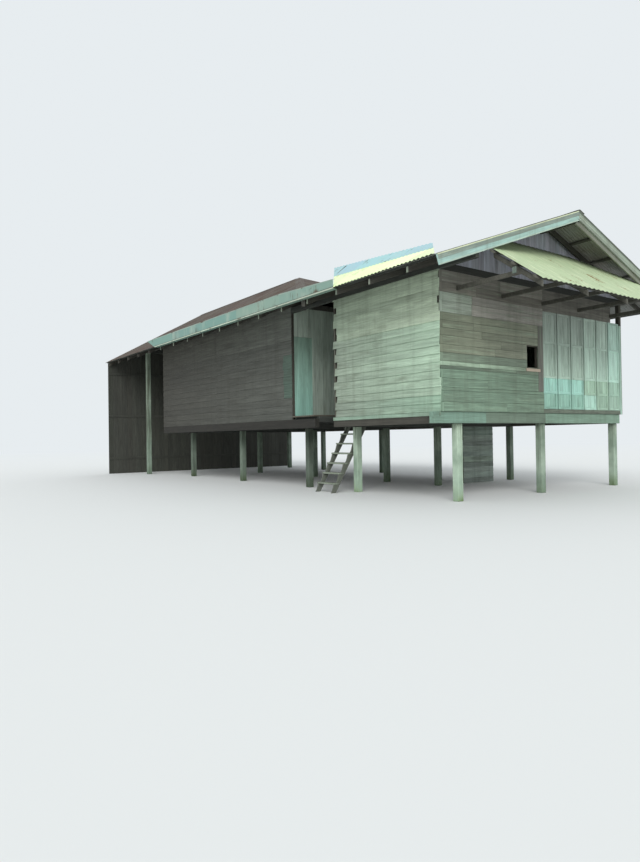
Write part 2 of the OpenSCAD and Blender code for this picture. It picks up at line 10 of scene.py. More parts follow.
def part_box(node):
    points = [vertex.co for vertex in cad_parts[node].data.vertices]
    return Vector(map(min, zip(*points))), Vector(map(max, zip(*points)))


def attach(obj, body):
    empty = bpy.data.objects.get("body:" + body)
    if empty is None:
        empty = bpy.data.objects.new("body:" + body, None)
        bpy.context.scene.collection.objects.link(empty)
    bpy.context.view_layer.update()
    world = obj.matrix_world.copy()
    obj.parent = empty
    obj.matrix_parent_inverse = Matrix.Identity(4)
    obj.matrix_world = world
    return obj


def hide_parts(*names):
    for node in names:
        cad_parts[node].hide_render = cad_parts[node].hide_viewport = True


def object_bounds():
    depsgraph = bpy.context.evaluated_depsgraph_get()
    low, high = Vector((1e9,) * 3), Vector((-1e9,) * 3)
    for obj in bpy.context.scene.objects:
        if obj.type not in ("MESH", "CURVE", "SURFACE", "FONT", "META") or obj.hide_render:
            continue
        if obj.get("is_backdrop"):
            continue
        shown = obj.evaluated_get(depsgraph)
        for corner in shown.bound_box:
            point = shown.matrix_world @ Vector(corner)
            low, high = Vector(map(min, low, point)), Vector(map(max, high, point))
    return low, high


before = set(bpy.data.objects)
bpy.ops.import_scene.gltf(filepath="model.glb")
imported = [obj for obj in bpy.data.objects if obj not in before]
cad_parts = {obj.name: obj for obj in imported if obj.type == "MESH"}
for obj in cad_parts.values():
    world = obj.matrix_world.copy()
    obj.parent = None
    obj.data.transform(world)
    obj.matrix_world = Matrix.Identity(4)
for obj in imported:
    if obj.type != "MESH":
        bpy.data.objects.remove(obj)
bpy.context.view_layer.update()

# Camera: an eye 1.4 m over the ground, looking level at the house's left corner.
# The lens and the turn were worked out from the two vanishing points of the walls.
EYE = Vector((-10.301, -9.237, 1.400))
EYE_UP = Vector((0.0061, -0.0172, 0.99983))
VIEW = Vector((0.58681, 0.80966, 0.01036))
FOCAL_PIXELS = 634.86
FRAME_PIXELS = 862.0
camera_data = bpy.data.cameras.new("eye_camera")
camera_data.sensor_fit = "VERTICAL"
camera_data.sensor_height = 36.0
camera_data.lens = FOCAL_PIXELS * camera_data.sensor_height / FRAME_PIXELS
camera = bpy.data.objects.new("eye_camera", camera_data)
bpy.context.scene.collection.objects.link(camera)
back = -VIEW.normalized()
side = EYE_UP.cross(back).normalized()
upright = back.cross(side)
camera.matrix_world = Matrix.Translation(EYE) @ Matrix((side, upright, back)).transposed().to_4x4()
bpy.context.scene.camera = camera


# Concrete posts: fifteen square ones carry the floors and two tall ones the bay at the far
# end. They are cast in board forms and left raw, with worn arrises, pour lines, pinholes,
# rain streaks that run down from the beams and a damp green foot.
POST_ARRIS = 0.012
# The levels are painted light and shade: the near posts are painted light, and the posts deep under the
# house are painted dark as the shade there; other posts take POST_LEVEL.
# x and y of a post seen in the photo, then the brightness of its foot and of its top
POST_LIGHT_LEVELS = ((0.0, 0.0, 1.2, 1.2), (2.9, 0.0, 0.80, 0.82), (6.1, 0.0, 0.92, 0.92),
               (0.0, 3.35, 1.28, 1.0), (0.0, 5.5, 0.3, 0.28), (0.0, 9.35, 0.42, 0.46),
               (0.0, 13.2, 0.38, 0.42), (-0.65, 16.1, 0.64, 0.76))
POST_LEVEL = 0.6
POST_PALE = (176, 196, 176)
POST_GREY = (132, 152, 134)
POST_STAIN = (92, 100, 84)
POST_MOSS = (98, 118, 78)


def tint(red, green, blue):
    """A colour as it looks on a screen, 0 to 255, as the shader's linear one."""
    linear = [((c / 255 + 0.055) / 1.055) ** 2.4 if c > 10 else c / 255 / 12.92
              for c in (red, green, blue)]
    return (*linear, 1.0)


def wire(tree, kind, sockets, **settings):
    """A shader node with its settings; a socket takes a value or another node's output."""
    node = tree.nodes.new("ShaderNode" + kind)
    for key, value in settings.items():
        setattr(node, key, value)
    for key, value in sockets.items():
        if isinstance(value, bpy.types.NodeSocket):
            tree.links.new(value, node.inputs[key])
        else:
            node.inputs[key].default_value = value
    return node


def mottle(tree, place, stretch, detail=4.0, rough=0.6):
    """Noise on a stretched coordinate, 0 to 1."""
    scaled = wire(tree, "VectorMath", {0: place, 1: stretch}, operation="MULTIPLY")
    return wire(tree, "TexNoise", {"Vector": scaled.outputs[0], "Scale": 1.0, "Detail": detail,
                                   "Roughness": rough}).outputs["Fac"]


def rescale(tree, value, low, high, to_low=0.0, to_high=1.0):
    return wire(tree, "MapRange", {"Value": value, "From Min": low, "From Max": high,
                                   "To Min": to_low, "To Max": to_high}).outputs[0]


def mixed(tree, factor, first, second, way="MIX"):
    return wire(tree, "Mix", {0: factor, 6: first, 7: second}, data_type="RGBA",
                blend_type=way).outputs[2]


def product(tree, first, second):
    return wire(tree, "Math", {0: first, 1: second}, operation="MULTIPLY").outputs[0]


def bumped(tree, height, strength, distance):
    return wire(tree, "Bump", {"Height": height, "Strength": strength,
                               "Distance": distance}).outputs["Normal"]


def overlay(tree, colour, mask, low, high, most, rgb):
    """A colour laid over another where a mask rises from low to high."""
    return mixed(tree, rescale(tree, mask, low, high, 0, most), colour, tint(*rgb))


def object_place(tree):
    return wire(tree, "TexCoord", {}).outputs["Object"]


def carried(tree, layer):
    """What the corners of a mesh carry: their colour, "paint", or the run of their "grain"."""
    return wire(tree, "Attribute", {}, attribute_name=layer).outputs[
        "Color" if layer == "paint" else "Vector"]


def new_finish(name):
    material = bpy.data.materials.new(name)
    material.use_nodes = True
    tree = material.node_tree
    return material, tree, tree.nodes["Principled BSDF"]


def surface(tree, shader, colour, rough, relief=None):
    """Gives a finish its colour, roughness and relief, each a value or a node's output."""
    for key, value in (("Base Color", colour), ("Roughness", rough), ("Normal", relief)):
        if isinstance(value, bpy.types.NodeSocket):
            tree.links.new(value, shader.inputs[key])
        elif value is not None:
            shader.inputs[key].default_value = value


def cast_concrete(name):
    material, tree, shader = new_finish(name)
    place = object_place(tree)
    height = wire(tree, "SeparateXYZ", {0: place}).outputs["Z"]
    clouds = mottle(tree, place, (2.2, 2.2, 1.6), 6)
    streaks = mottle(tree, place, (16, 16, 0.9), 4)
    grit = mottle(tree, place, (90, 90, 90), 3)
    pour = mottle(tree, place, (0.6, 0.6, 7.0), 2)
    pins = wire(tree, "TexVoronoi", {"Vector": place, "Scale": 34.0}).outputs["Distance"]
    holes = rescale(tree, pins, 0.05, 0.12)
    colour = mixed(tree, rescale(tree, clouds, 0.35, 0.68), tint(*POST_GREY), tint(*POST_PALE))
    colour = overlay(tree, colour, pour, 0.55, 0.75, 0.35, POST_GREY)
    colour = overlay(tree, colour, streaks, 0.54, 0.74, 0.6, POST_STAIN)
    top_damp = product(tree, rescale(tree, height, 1.25, 1.75),
                       rescale(tree, streaks, 0.4, 0.6, 0.1, 0.8))
    colour = mixed(tree, top_damp, colour, tint(*POST_STAIN))
    foot = product(tree, rescale(tree, height, 0.42, 0.0), rescale(tree, clouds, 0.38, 0.6, 0.15, 1))
    colour = mixed(tree, foot, colour, tint(*POST_MOSS))
    colour = mixed(tree, rescale(tree, holes, 0.0, 1.0, 0.55, 0.0), colour, tint(*POST_STAIN))
    colour = mixed(tree, 1.0, colour, carried(tree, "paint"), "MULTIPLY")
    relief = wire(tree, "Math", {0: grit, 1: holes}, operation="ADD").outputs[0]
    surface(tree, shader, colour, 0.9, bumped(tree, relief, 0.35, 0.004))
    return material


def timber_mesh():
    """An empty mesh whose corners carry each piece's own colour and the run of its grain."""
    bm = bmesh.new()
    bm.verts.layers.float_color.new("paint")
    bm.verts.layers.float_vector.new("grain")
    return bm


def corner_layers(bm):
    """The two layers of a mesh's corners: their colour and the run of their grain."""
    return bm.verts.layers.float_color["paint"], bm.verts.layers.float_vector["grain"]


def dress(bm, verts, colour, rng):
    """Gives one piece its colour and a grain that runs along its length."""
    paint, grain = corner_layers(bm)
    spans = [max(v.co[i] for v in verts) - min(v.co[i] for v in verts) for i in range(3)]
    axis = spans.index(max(spans))
    first = min(v.co[axis] for v in verts)
    ends = [Vector(), Vector()]
    counts = [0, 0]
    for v in verts:
        share = (v.co[axis] - first) / max(spans[axis], 1e-6)
        if not 0.15 < share < 0.85:
            ends[share > 0.5] += v.co
            counts[share > 0.5] += 1
    along = (ends[1] / max(counts[1], 1) - ends[0] / max(counts[0], 1)).normalized()
    across = along.cross(Vector((0, 0, 1)) if abs(along.z) < 0.9 else Vector((0, 1, 0))).normalized()
    up = across.cross(along)
    shift = Vector((rng.uniform(0, 30), rng.uniform(0, 30), rng.uniform(0, 30)))
    for v in verts:
        v[paint] = colour
        v[grain] = Vector((v.co.dot(along), v.co.dot(across), v.co.dot(up))) + shift


def islands(bm):
    """The separate solids of a mesh, each as a list of its corners."""
    seen = set()
    groups = []
    for start in bm.verts:
        if start in seen:
            continue
        seen.add(start)
        group = [start]
        for v in group:
            for edge in v.link_edges:
                other = edge.other_vert(v)
                if other not in seen:
                    seen.add(other)
                    group.append(other)
        groups.append(group)
    return groups


def add_node(bm, name):
    """The corners of a merged copy of a node's solids, added to a mesh."""
    known = len(bm.verts)
    bm.from_mesh(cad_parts[name].data)
    bm.verts.ensure_lookup_table()
    bmesh.ops.remove_doubles(bm, verts=bm.verts[known:], dist=1e-5)
    bm.verts.ensure_lookup_table()
    added = bm.verts[known:]
    edges = {edge for v in added for edge in v.link_edges}
    bmesh.ops.dissolve_limit(bm, angle_limit=math.radians(0.5), verts=added,
                             edges=sorted(edges, key=lambda e: e.index))
    bm.verts.ensure_lookup_table()
    return bm.verts[known:]


def place_piece(name, bm, material, slot, *nodes, arris=0.003):
    """The finished piece: its edges eased, riding on the house and standing for its nodes."""
    mesh = bpy.data.meshes.new(name)
    bm.to_mesh(mesh)
    bm.free()
    stale = mesh.attributes.get("custom_normal")
    if stale:
        mesh.attributes.remove(stale)
    mesh.materials.clear()
    mesh.materials.append(material)
    piece = bpy.data.objects.new(name, mesh)
    bpy.context.scene.collection.objects.link(piece)
    if arris:
        eased = piece.modifiers.new("eased", "BEVEL")
        eased.width = arris
        eased.segments = 1
        eased.limit_method = "ANGLE"
        eased.angle_limit = math.radians(35)
    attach(piece, "root")
    if nodes:
        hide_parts(*nodes)
    return piece


CONCRETE = cast_concrete("raw_concrete")
for node in ("concrete_posts", "tall_posts"):
    bm = timber_mesh()
    add_node(bm, node)
    for group in islands(bm):
        middle = sum((v.co for v in group), Vector()) / len(group)
        # Each post's foot and top take its level of painted light and shade.
        foot = top = POST_LEVEL
        for x, y, own_foot, own_top in POST_LIGHT_LEVELS:
            if abs(middle.x - x) < 0.3 and abs(middle.y - y) < 0.3:
                foot, top = own_foot, own_top
        dress(bm, group, (foot, foot, foot, 1.0), random.Random(3))
        for v in group:
            if v.co.z > middle.z:
                v[corner_layers(bm)[0]] = (top, top * 0.96, top * 0.95, 1.0)
    place_piece(node + "_cast", bm, CONCRETE, "concrete", node, arris=POST_ARRIS)


# Floor frame: sawn hardwood beams laid on the posts, side beams between them and a row of
# joists over each floor. The near beam is faded blue-green paint at its left end, where it
# runs on past the wall, and bleached grey further on.
BEAM_BROWN = (62, 66, 60)
BEAM_NEAR = (68, 66, 58)
BEAM_FAR_SHADED = (41, 40, 34)
BEAM_TEAL = (119, 150, 132)
BEAM_GREY = (106, 124, 107)
BEAM_PALE = (122, 150, 130)
BEAM_ARRIS = 0.005
BEAM_CHANGES = (0.75, 2.9)
NEAR_SIDE_BEAMS = 3.0


def varied(rgb, rng, spread=0.05, hue=0.012):
    """A board's own shade of a colour."""
    level = 1 + rng.uniform(-spread, spread)
    return tint(*(min(255, max(0, c * level * (1 + rng.uniform(-hue, hue)))) for c in rgb))


def board(bm, low, high, colour, rng):
    """One sawn board between two corners."""
    low, high = Vector(low), Vector(high)
    made = bmesh.ops.create_cube(bm, size=1.0)["verts"]
    bmesh.ops.scale(bm, vec=high - low, verts=made)
    bmesh.ops.translate(bm, vec=(low + high) / 2, verts=made)
    dress(bm, made, colour, rng)
    return made


def weathered_wood(name, contrast, stain, stained, rough=0.82, relief=0.5, silver=None, silvered=0):
    """Bare boards gone grey or brown: fibres along the length, darker figure, damp blotches,
    silvered streaks and marks where rain runs down. The boards' colours, painted light and
    shade among them, come from their corners."""
    material, tree, shader = new_finish(name)
    grain = carried(tree, "grain")
    base = carried(tree, "paint")
    place = object_place(tree)
    fibres = mottle(tree, grain, (2.2, 75, 75), 5, 0.7)
    figure = mottle(tree, grain, (0.8, 17, 17), 3)
    blotches = mottle(tree, grain, (1.3, 5, 5), 5)
    rain = mottle(tree, place, (5.5, 5.5, 0.45), 5)
    level = wire(tree, "Math", {
        0: rescale(tree, fibres, 0.25, 0.75, 1 - contrast, 1 + 0.8 * contrast),
        1: rescale(tree, figure, 0.3, 0.7, 1 - 0.6 * contrast, 1 + 0.4 * contrast)},
        operation="MULTIPLY").outputs[0]
    colour = wire(tree, "HueSaturation", {"Color": base, "Saturation": 0.94,
                                          "Value": level}).outputs["Color"]
    if silver:
        streaks = mottle(tree, grain, (0.9, 26, 26), 5, 0.65)
        colour = overlay(tree, colour, streaks, 0.54, 0.7, silvered, silver)
    colour = overlay(tree, colour, blotches, 0.52, 0.78, stained, stain)
    colour = overlay(tree, colour, rain, 0.48, 0.8, 0.8 * stained, stain)
    height = wire(tree, "Math", {0: fibres, 1: figure}, operation="ADD").outputs[0]
    surface(tree, shader, colour, rough, bumped(tree, height, relief, 0.004))
    return material


def begin(seed):
    """An empty mesh for a piece, and the random numbers that vary its boards."""
    return timber_mesh(), random.Random(seed)


def dressed_nodes(piece, material, slot, colours, seed, *nodes, arris=0.004):
    """The sawn members of some nodes as one piece, each member with its own shade."""
    bm, rng = begin(seed)
    for node in nodes:
        add_node(bm, node)
    for group in islands(bm):
        dress(bm, group, varied(rng.choice(colours), rng), rng)
    place_piece(piece, bm, material, slot, *nodes, arris=arris)


DARK_WOOD = weathered_wood("dark_timber", 0.45, (48, 44, 38), 0.55)
bm, rng = begin(5)
add_node(bm, "side_beams")
for group in islands(bm):
    # Side beams further back are painted darker: painted shade under the back of the house.
    near = min(v.co.y for v in group) < NEAR_SIDE_BEAMS
    dress(bm, group, varied(BEAM_NEAR if near else BEAM_FAR_SHADED, rng), rng)
place_piece("side_beams_sawn", bm, DARK_WOOD, "timber_dark", "side_beams", arris=BEAM_ARRIS)
dressed_nodes("cross_beams_sawn", DARK_WOOD, "timber_dark", (BEAM_BROWN,), 5, "cross_beams",
              arris=BEAM_ARRIS)
dressed_nodes("floor_joists_sawn", DARK_WOOD, "timber_dark", (BEAM_BROWN,), 6, "floor_joists")

bm = timber_mesh()
low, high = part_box("front_beam")
rng = random.Random(8)
stretches = (low.x, *BEAM_CHANGES, high.x)
for first, last, rgb in zip(stretches, stretches[1:], (BEAM_TEAL, BEAM_GREY, BEAM_PALE)):
    board(bm, (first, low.y, low.z), (last, high.y, high.z), tint(*rgb), rng)
PALE_BEAM_WOOD = weathered_wood("bleached_beam_and_lit_ends", 0.28, (78, 86, 72), 0.55)
place_piece("front_rim_beam", bm, PALE_BEAM_WOOD, "timber_dark", "front_beam", arris=BEAM_ARRIS)


# Floors: planed boards nailed across the joists, with an open joint between them, worn
# smooth and darker than the walls.
FLOOR_BOARD = 0.15
FLOOR_JOINT = 0.004
FLOOR_BROWN = (90, 86, 74)
BUTT_JOINTS = (1.55, 2.85, 4.1)
WELL_LENGTH = 0.8
FLOOR_WOOD = weathered_wood("floor_boards", 0.3, (70, 64, 54), 0.5, 0.7, 0.3)
well_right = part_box("stair_strings")[1].x
well_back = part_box("landing_floor")[0].y + WELL_LENGTH
for node in ("front_floor", "landing_floor", "rear_floor"):
    bm, rng = begin(node)
    low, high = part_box(node)
    count = round((high.y - low.y) / FLOOR_BOARD)
    step = (high.y - low.y) / count
    for i in range(count):
        y0 = low.y + i * step + FLOOR_JOINT / 2
        y1 = low.y + (i + 1) * step - FLOOR_JOINT / 2
        over_well = node == "landing_floor" and y0 < well_back - FLOOR_JOINT
        x0 = well_right if over_well else low.x
        joint = rng.choice(BUTT_JOINTS)
        for a, b in ((x0, joint - FLOOR_JOINT / 2), (joint + FLOOR_JOINT / 2, high.x)):
            top = high.z - rng.uniform(0, 0.003)
            board(bm, (a, y0, low.z), (b, y1, top), varied(FLOOR_BROWN, rng), rng)
    place_piece(node + "_boards", bm, FLOOR_WOOD, "timber_floor", node)


# Stair: two strings sawn into teeth under seven treads, as steep as a ladder. The treads lie
# on the teeth, pass a little over the strings and are paler along their front edges.
STAIR_GREY = (98, 103, 93)
STAIR_EDGE_PALE = (140, 150, 132)
STRING_FOOT = 0.212
STRING_T = 0.04
STRING_BACK = 0.075
TREAD_OVER = 0.015
TOOTH = 0.15
TOOTH_BACK = 0.012
STAIR_WOOD = weathered_wood("stair_timber", 0.32, (70, 72, 62), 0.5, 0.8, 0.4)
bm = timber_mesh()
add_node(bm, "stair_treads")
treads = sorted([[f(v.co[i] for v in group) for i in (0, 2) for f in (min, max)]
                 for group in islands(bm)])
bm.free()
low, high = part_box("stair_strings")
lean = (treads[-1][0] - treads[0][0]) / (treads[-1][2] - treads[0][2])
profile = [(low.x + STRING_BACK, low.z)]
for x0, x1, z0, z1 in treads:
    profile.append((low.x + STRING_BACK + (z0 - TOOTH) * lean, z0 - TOOTH))
    profile.append((x0 + TOOTH_BACK, z0))
    profile.append((low.x + STRING_BACK + z0 * lean, z0))
profile += [(low.x + STRING_BACK + high.z * lean, high.z), (high.x, high.z),
            (high.x, (high.x - low.x - STRING_FOOT) / lean), (low.x + STRING_FOOT, low.z)]
bm, rng = begin(12)
for y in (low.y, high.y - STRING_T):
    sides = [[bm.verts.new((x, y + depth, z)) for x, z in profile] for depth in (0, STRING_T)]
    bm.faces.new(sides[0])
    bm.faces.new(reversed(sides[1]))
    for i in range(len(profile)):
        k = (i + 1) % len(profile)
        bm.faces.new((sides[0][k], sides[0][i], sides[1][i], sides[1][k]))
    dress(bm, sides[0] + sides[1], varied(STAIR_GREY, rng), rng)
bmesh.ops.recalc_face_normals(bm, faces=bm.faces[:])
place_piece("stair_strings_sawn", bm, STAIR_WOOD, "stair_wood", "stair_strings")
bm = timber_mesh()
for x0, x1, z0, z1 in treads:
    made = board(bm, (x0, low.y - TREAD_OVER, z0), (x1, high.y + TREAD_OVER, z1),
                 varied(STAIR_GREY, rng), rng)
    for v in made:
        if v.co.x < x0 + 0.01:
            v[corner_layers(bm)[0]] = tint(*STAIR_EDGE_PALE)
place_piece("stair_treads_sawn", bm, STAIR_WOOD, "stair_wood", "stair_treads", arris=0.008)


# Board wall under the front floor: pale grey boards lapped over each other on four studs.
LOW_WALL_LAP = 0.155
LOW_WALL_GREY = (150, 164, 152)
LOW_WALL_STUDS = 4


def tip(verts, axis, amount):
    """Tips a lapped board over the one below it: its upper edge moves along an axis."""
    middle = sum(v.co.z for v in verts) / len(verts)
    for v in verts:
        if v.co.z > middle:
            v.co[axis] += amount


BROWN_WOOD = weathered_wood("brown_boards", 0.4, (54, 52, 44), 0.5)
low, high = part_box("low_wall")
bm, rng = begin(15)
for i in range(math.ceil((high.z - low.z) / LOW_WALL_LAP)):
    z0 = low.z + i * LOW_WALL_LAP
    z1 = min(z0 + LOW_WALL_LAP + 0.02, high.z)
    made = board(bm, (low.x + rng.uniform(0, 0.03), low.y, z0), (high.x, low.y + 0.016, z1),
                 varied(LOW_WALL_GREY, rng, 0.1), rng)
    tip(made, 1, 0.012)
for i in range(LOW_WALL_STUDS):
    x = low.x + 0.03 + i * (high.x - low.x - 0.09) / (LOW_WALL_STUDS - 1)
    board(bm, (x, low.y + 0.028, low.z), (x + 0.05, high.y, high.z), varied(FLOOR_BROWN, rng), rng)
place_piece("low_wall_boards", bm, BROWN_WOOD, "timber_brown", "low_wall")


# Front room, left wall: long boards lapped over each other like scales on upright studs.
# Their far ends are ragged, one is short at the near corner, and the top courses are flush
# and browner, painted lighter toward the far end as painted light against the eave's shade.
LAP = 0.17
LAP_OVER = 0.022
LAP_LEAN = 0.02
WALL_MAIN = ((171, 197, 171), (146, 160, 142))
WALL_FOOT = ((150, 181, 156), (134, 145, 130))
WALL_TOP = ((177, 193, 167), (164, 181, 157))
STUD_BROWN = (72, 69, 60)
SILL_STRIP = (136, 164, 142)
STUD = 0.05
STUD_GAP = 0.6
BOARD_T = 0.022
NEAR_ENDS = (0.0, 0.004, 0.01, 0.018, 0.028)
SHORT_BY = 0.07
FAR_RAGGED = 0.17
FLUSH_FROM = 3.75
SHORT_COURSE = 13
GREY_WOOD = weathered_wood("grey_boards", 0.34, (88, 92, 76), 0.5, silver=(184, 200, 178),
                           silvered=0.3)


def tone_along(bm, verts, axis, start, end, tones, level):
    """Blends a board from one tone to another along an axis. On the front wall, panels, rear walls and
    door the blend is painted light and shade.
    """
    paint = corner_layers(bm)[0]
    for v in verts:
        share = min(1, max(0, (v.co[axis] - start) / (end - start)))
        v[paint] = tint(*(min(255, (a + (b - a) * share) * level) for a, b in zip(*tones)))


def toned_board(bm, low, high, axis, start, end, tones, rng, level=None, spread=0.05):
    """A board with blended tones, at a level that is given or drawn after the board."""
    made = board(bm, low, high, tint(*tones[0]), rng)
    tone_along(bm, made, axis, start, end, tones, level or rng.uniform(1 - spread, 1 + spread))
    return made


def studs(bm, low, high, axis, outside, rng):
    """Upright studs along a wall; outside is the thickness kept for the boards on its face."""
    count = max(1, round((high[axis] - low[axis]) / STUD_GAP))
    for i in range(count + 1):
        start = low[axis] + (high[axis] - low[axis] - STUD) * i / count
        a, b = Vector(low), Vector(high)
        a[axis], b[axis] = start, start + STUD
        other = 1 - axis
        a[other] += outside[0]
        b[other] -= outside[1]
        board(bm, a, b, varied(STUD_BROWN, rng), rng)


low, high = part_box("left_wall")
bm, rng = begin(21)
studs(bm, Vector((low.x, low.y + 0.03, low.z)), high, 1, (0.042, 0), rng)
courses = math.ceil((high.z - low.z) / LAP)
for i in range(courses):
    z0 = low.z + i * LAP
    z1 = min(z0 + LAP + LAP_OVER, high.z)
    flush = z0 > FLUSH_FROM
    near = low.y + (SHORT_BY if i == SHORT_COURSE else rng.choice(NEAR_ENDS))
    far = high.y - rng.uniform(0.0, FAR_RAGGED)
    # The top courses carry painted light against the shade of the eave.
    tones = WALL_TOP if flush else WALL_FOOT if i < 2 else WALL_MAIN
    made = toned_board(bm, (low.x, near, z0), (low.x + BOARD_T, far, z1), 1, low.y, high.y, tones, rng,
                       spread=0.045)
    tip(made, 0, LAP_LEAN * (0.4 if flush else 1.0))
place_piece("left_wall_boards", bm, GREY_WOOD, "timber_grey", "left_wall")

bm = timber_mesh()
board(bm, (low.x - 0.014, low.y, low.z - 0.085), (low.x, high.y, low.z - 0.005),
      varied(SILL_STRIP, rng, 0.02), rng)
place_piece("left_sill_strip", bm, GREY_WOOD, "timber_grey")


# Front wall: wide boards laid flat, in courses of odd widths put up at odd times, some
# brown, some pale, dark under the canopy. The tones along the boards are painted light and
# shade: the boards at the near corner are pale partly as a painted sunlit patch, a course
# high up is painted dark as shade, and several courses are painted lighter toward the right
# and at the top to lift the canopy's shade. A small bare hole for light is cut through them
# beside the panels, with a tan board for its sill and an upright brown one next to it.
FRONT_LOW = ((118, 144, 122), (113, 136, 115))
FRONT_GAP = ((92, 108, 92), (114, 132, 112))
FRONT_EDGE = ((158, 182, 156), (128, 144, 124))
FRONT_MOSSY = ((122, 139, 118), (118, 132, 115))
FRONT_BROWN = ((112, 119, 99), (139, 143, 124))
FRONT_SUNLIT_PALE = ((156, 168, 152), (150, 158, 143))
FRONT_UMBER = ((146, 144, 134), (150, 147, 138))
FRONT_DARK = ((114, 111, 101), (118, 114, 104))
FRONT_TOP = ((134, 131, 121), (140, 136, 126))
FRONT_COURSES = ((1.90, FRONT_LOW), (2.10, FRONT_LOW), (2.33, FRONT_LOW), (2.40, FRONT_LOW),
                 (2.59, FRONT_LOW), (2.78, FRONT_GAP), (2.85, FRONT_EDGE), (2.94, FRONT_MOSSY),
                 (3.12, FRONT_BROWN), (3.29, FRONT_BROWN), (3.47, FRONT_BROWN),
                 (3.63, FRONT_BROWN), (3.79, FRONT_BROWN), (3.95, FRONT_UMBER),
                 (4.19, FRONT_UMBER), (4.37, FRONT_DARK), (4.58, FRONT_TOP), (4.825, FRONT_TOP))
FRONT_STRIP = (114, 114, 105)
STRIP_Z = (2.40, 3.95)
HOLE_Z = (2.94, 3.47)
FRONT_BOARD = BOARD_T + 0.004
HALF_JOINT = 0.002
HOLE_FRAME = 0.02
SILL_TAN = (172, 160, 138)
FRONT_WOOD = weathered_wood("front_boards", 0.38, (84, 88, 74), 0.55, silver=(154, 178, 152),
                            silvered=0.45)
low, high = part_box("front_wall")
sill_low, sill_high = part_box("window_board")
hole_x = (sill_low.x + 0.05, sill_high.x - 0.05)
rng = random.Random(24)
corner_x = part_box("left_wall")[0].x + 0.025
corner_bm = timber_mesh()
bm = timber_mesh()
studs(bm, (low.x, low.y, low.z), (hole_x[0], high.y, high.z), 0, (FRONT_BOARD, 0), rng)
studs(bm, (hole_x[1], low.y, low.z), (high.x, high.y, high.z), 0, (FRONT_BOARD, 0), rng)
for (z0, tones), (z1, _) in zip(FRONT_COURSES, FRONT_COURSES[1:]):
    beside_hole = HOLE_Z[0] - 0.01 < z0 and z1 < HOLE_Z[1] + 0.01
    beside_strip = STRIP_Z[0] - 0.01 < z0 and z1 < STRIP_Z[1] + 0.01
    last = hole_x[0] if beside_hole else hole_x[1] if beside_strip else high.x
    joints = [low.x, last]
    if tones is FRONT_UMBER:
        joints.insert(1, 0.25 + rng.uniform(-0.08, 0.08))
    elif rng.random() < 0.7:
        joints.insert(1, low.x + (last - low.x) * rng.uniform(0.25, 0.8))
    y0 = low.y + rng.uniform(0.0, 0.005)
    bottom, top = z0 + HALF_JOINT, z1 - HALF_JOINT
    for k, (a, b) in enumerate(zip(joints, joints[1:])):
        made = board(bm, (a + HALF_JOINT * k, y0, bottom), (b, low.y + FRONT_BOARD, top),
                     tint(*tones[0]), rng)
        # The near board of each umber course is pale partly as a painted sunlit patch.
        own = FRONT_SUNLIT_PALE if tones is FRONT_UMBER and k == 0 else tones
        # Each board's tone shifts along its length as painted light and shade.
        level = rng.uniform(0.94, 1.06)
        tone_along(bm, made, 0, low.x, high.x, own, level)
        if k == 0:
            toned_board(corner_bm, (corner_x, y0, bottom), (a, low.y + BOARD_T, top), 0, low.x,
                        high.x, own, rng, level)
board(bm, (hole_x[1] + 0.003, low.y, STRIP_Z[0] + HALF_JOINT), (high.x, low.y + BOARD_T, STRIP_Z[1]),
      tint(*FRONT_STRIP), rng)
for z in HOLE_Z:
    board(bm, (hole_x[0], low.y + BOARD_T, z - HOLE_FRAME), (hole_x[1], high.y, z + HOLE_FRAME),
          varied(STUD_BROWN, rng), rng)
place_piece("front_wall_boards", bm, FRONT_WOOD, "timber_grey", "front_wall")
place_piece("front_corner_boards", corner_bm, FRONT_WOOD, "timber_grey")

TAN_WOOD = weathered_wood("sill_board", 0.2, (110, 92, 76), 0.3, 0.75, 0.3)
dressed_nodes("window_sill_board", TAN_WOOD, "timber_tan", (SILL_TAN,), 25, "window_board",
              arris=0.006)


# Tall folding panels: six leaves of upright boards held in frames of stiles and rails,
# greyed and darker toward the top with painted shade from the canopy, with worn blue-green
# paint on some of their lower fields. They stand shut between a sill and a dark head, with a
# dark gap between the leaves.
STILE = 0.062
STILE_PROUD = 0.012
PANEL_GAP = 0.044
PANEL_RAILS = (2.37, 2.74, 3.55)
PANEL_UP = ((182, 207, 188), (188, 218, 198), (190, 228, 208))
PANEL_TOP_SHADE = ((156, 168, 158), (176, 194, 180), (186, 218, 202))
PANEL_MID = ((168, 220, 202), (169, 202, 176), (164, 198, 176))
PANEL_LOW = ((150, 196, 176), (160, 192, 168), (164, 195, 174))
PANEL_BRIGHT = (182, 224, 204)
PANEL_SHADES = (0, 0, 0, 1, 1, 2)
PANEL_SHADE_FROM = 3.0
SILL_AND_HEAD = ((104, 116, 100), (112, 110, 100))
PANEL_WOOD = weathered_wood("panel_boards", 0.34, (84, 94, 80), 0.5, 0.78, 0.4)
low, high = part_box("folding_panels")
leaves = len(PANEL_SHADES)
leaf_step = (high.x - low.x + 0.03) / leaves
bm, rng = begin(31)
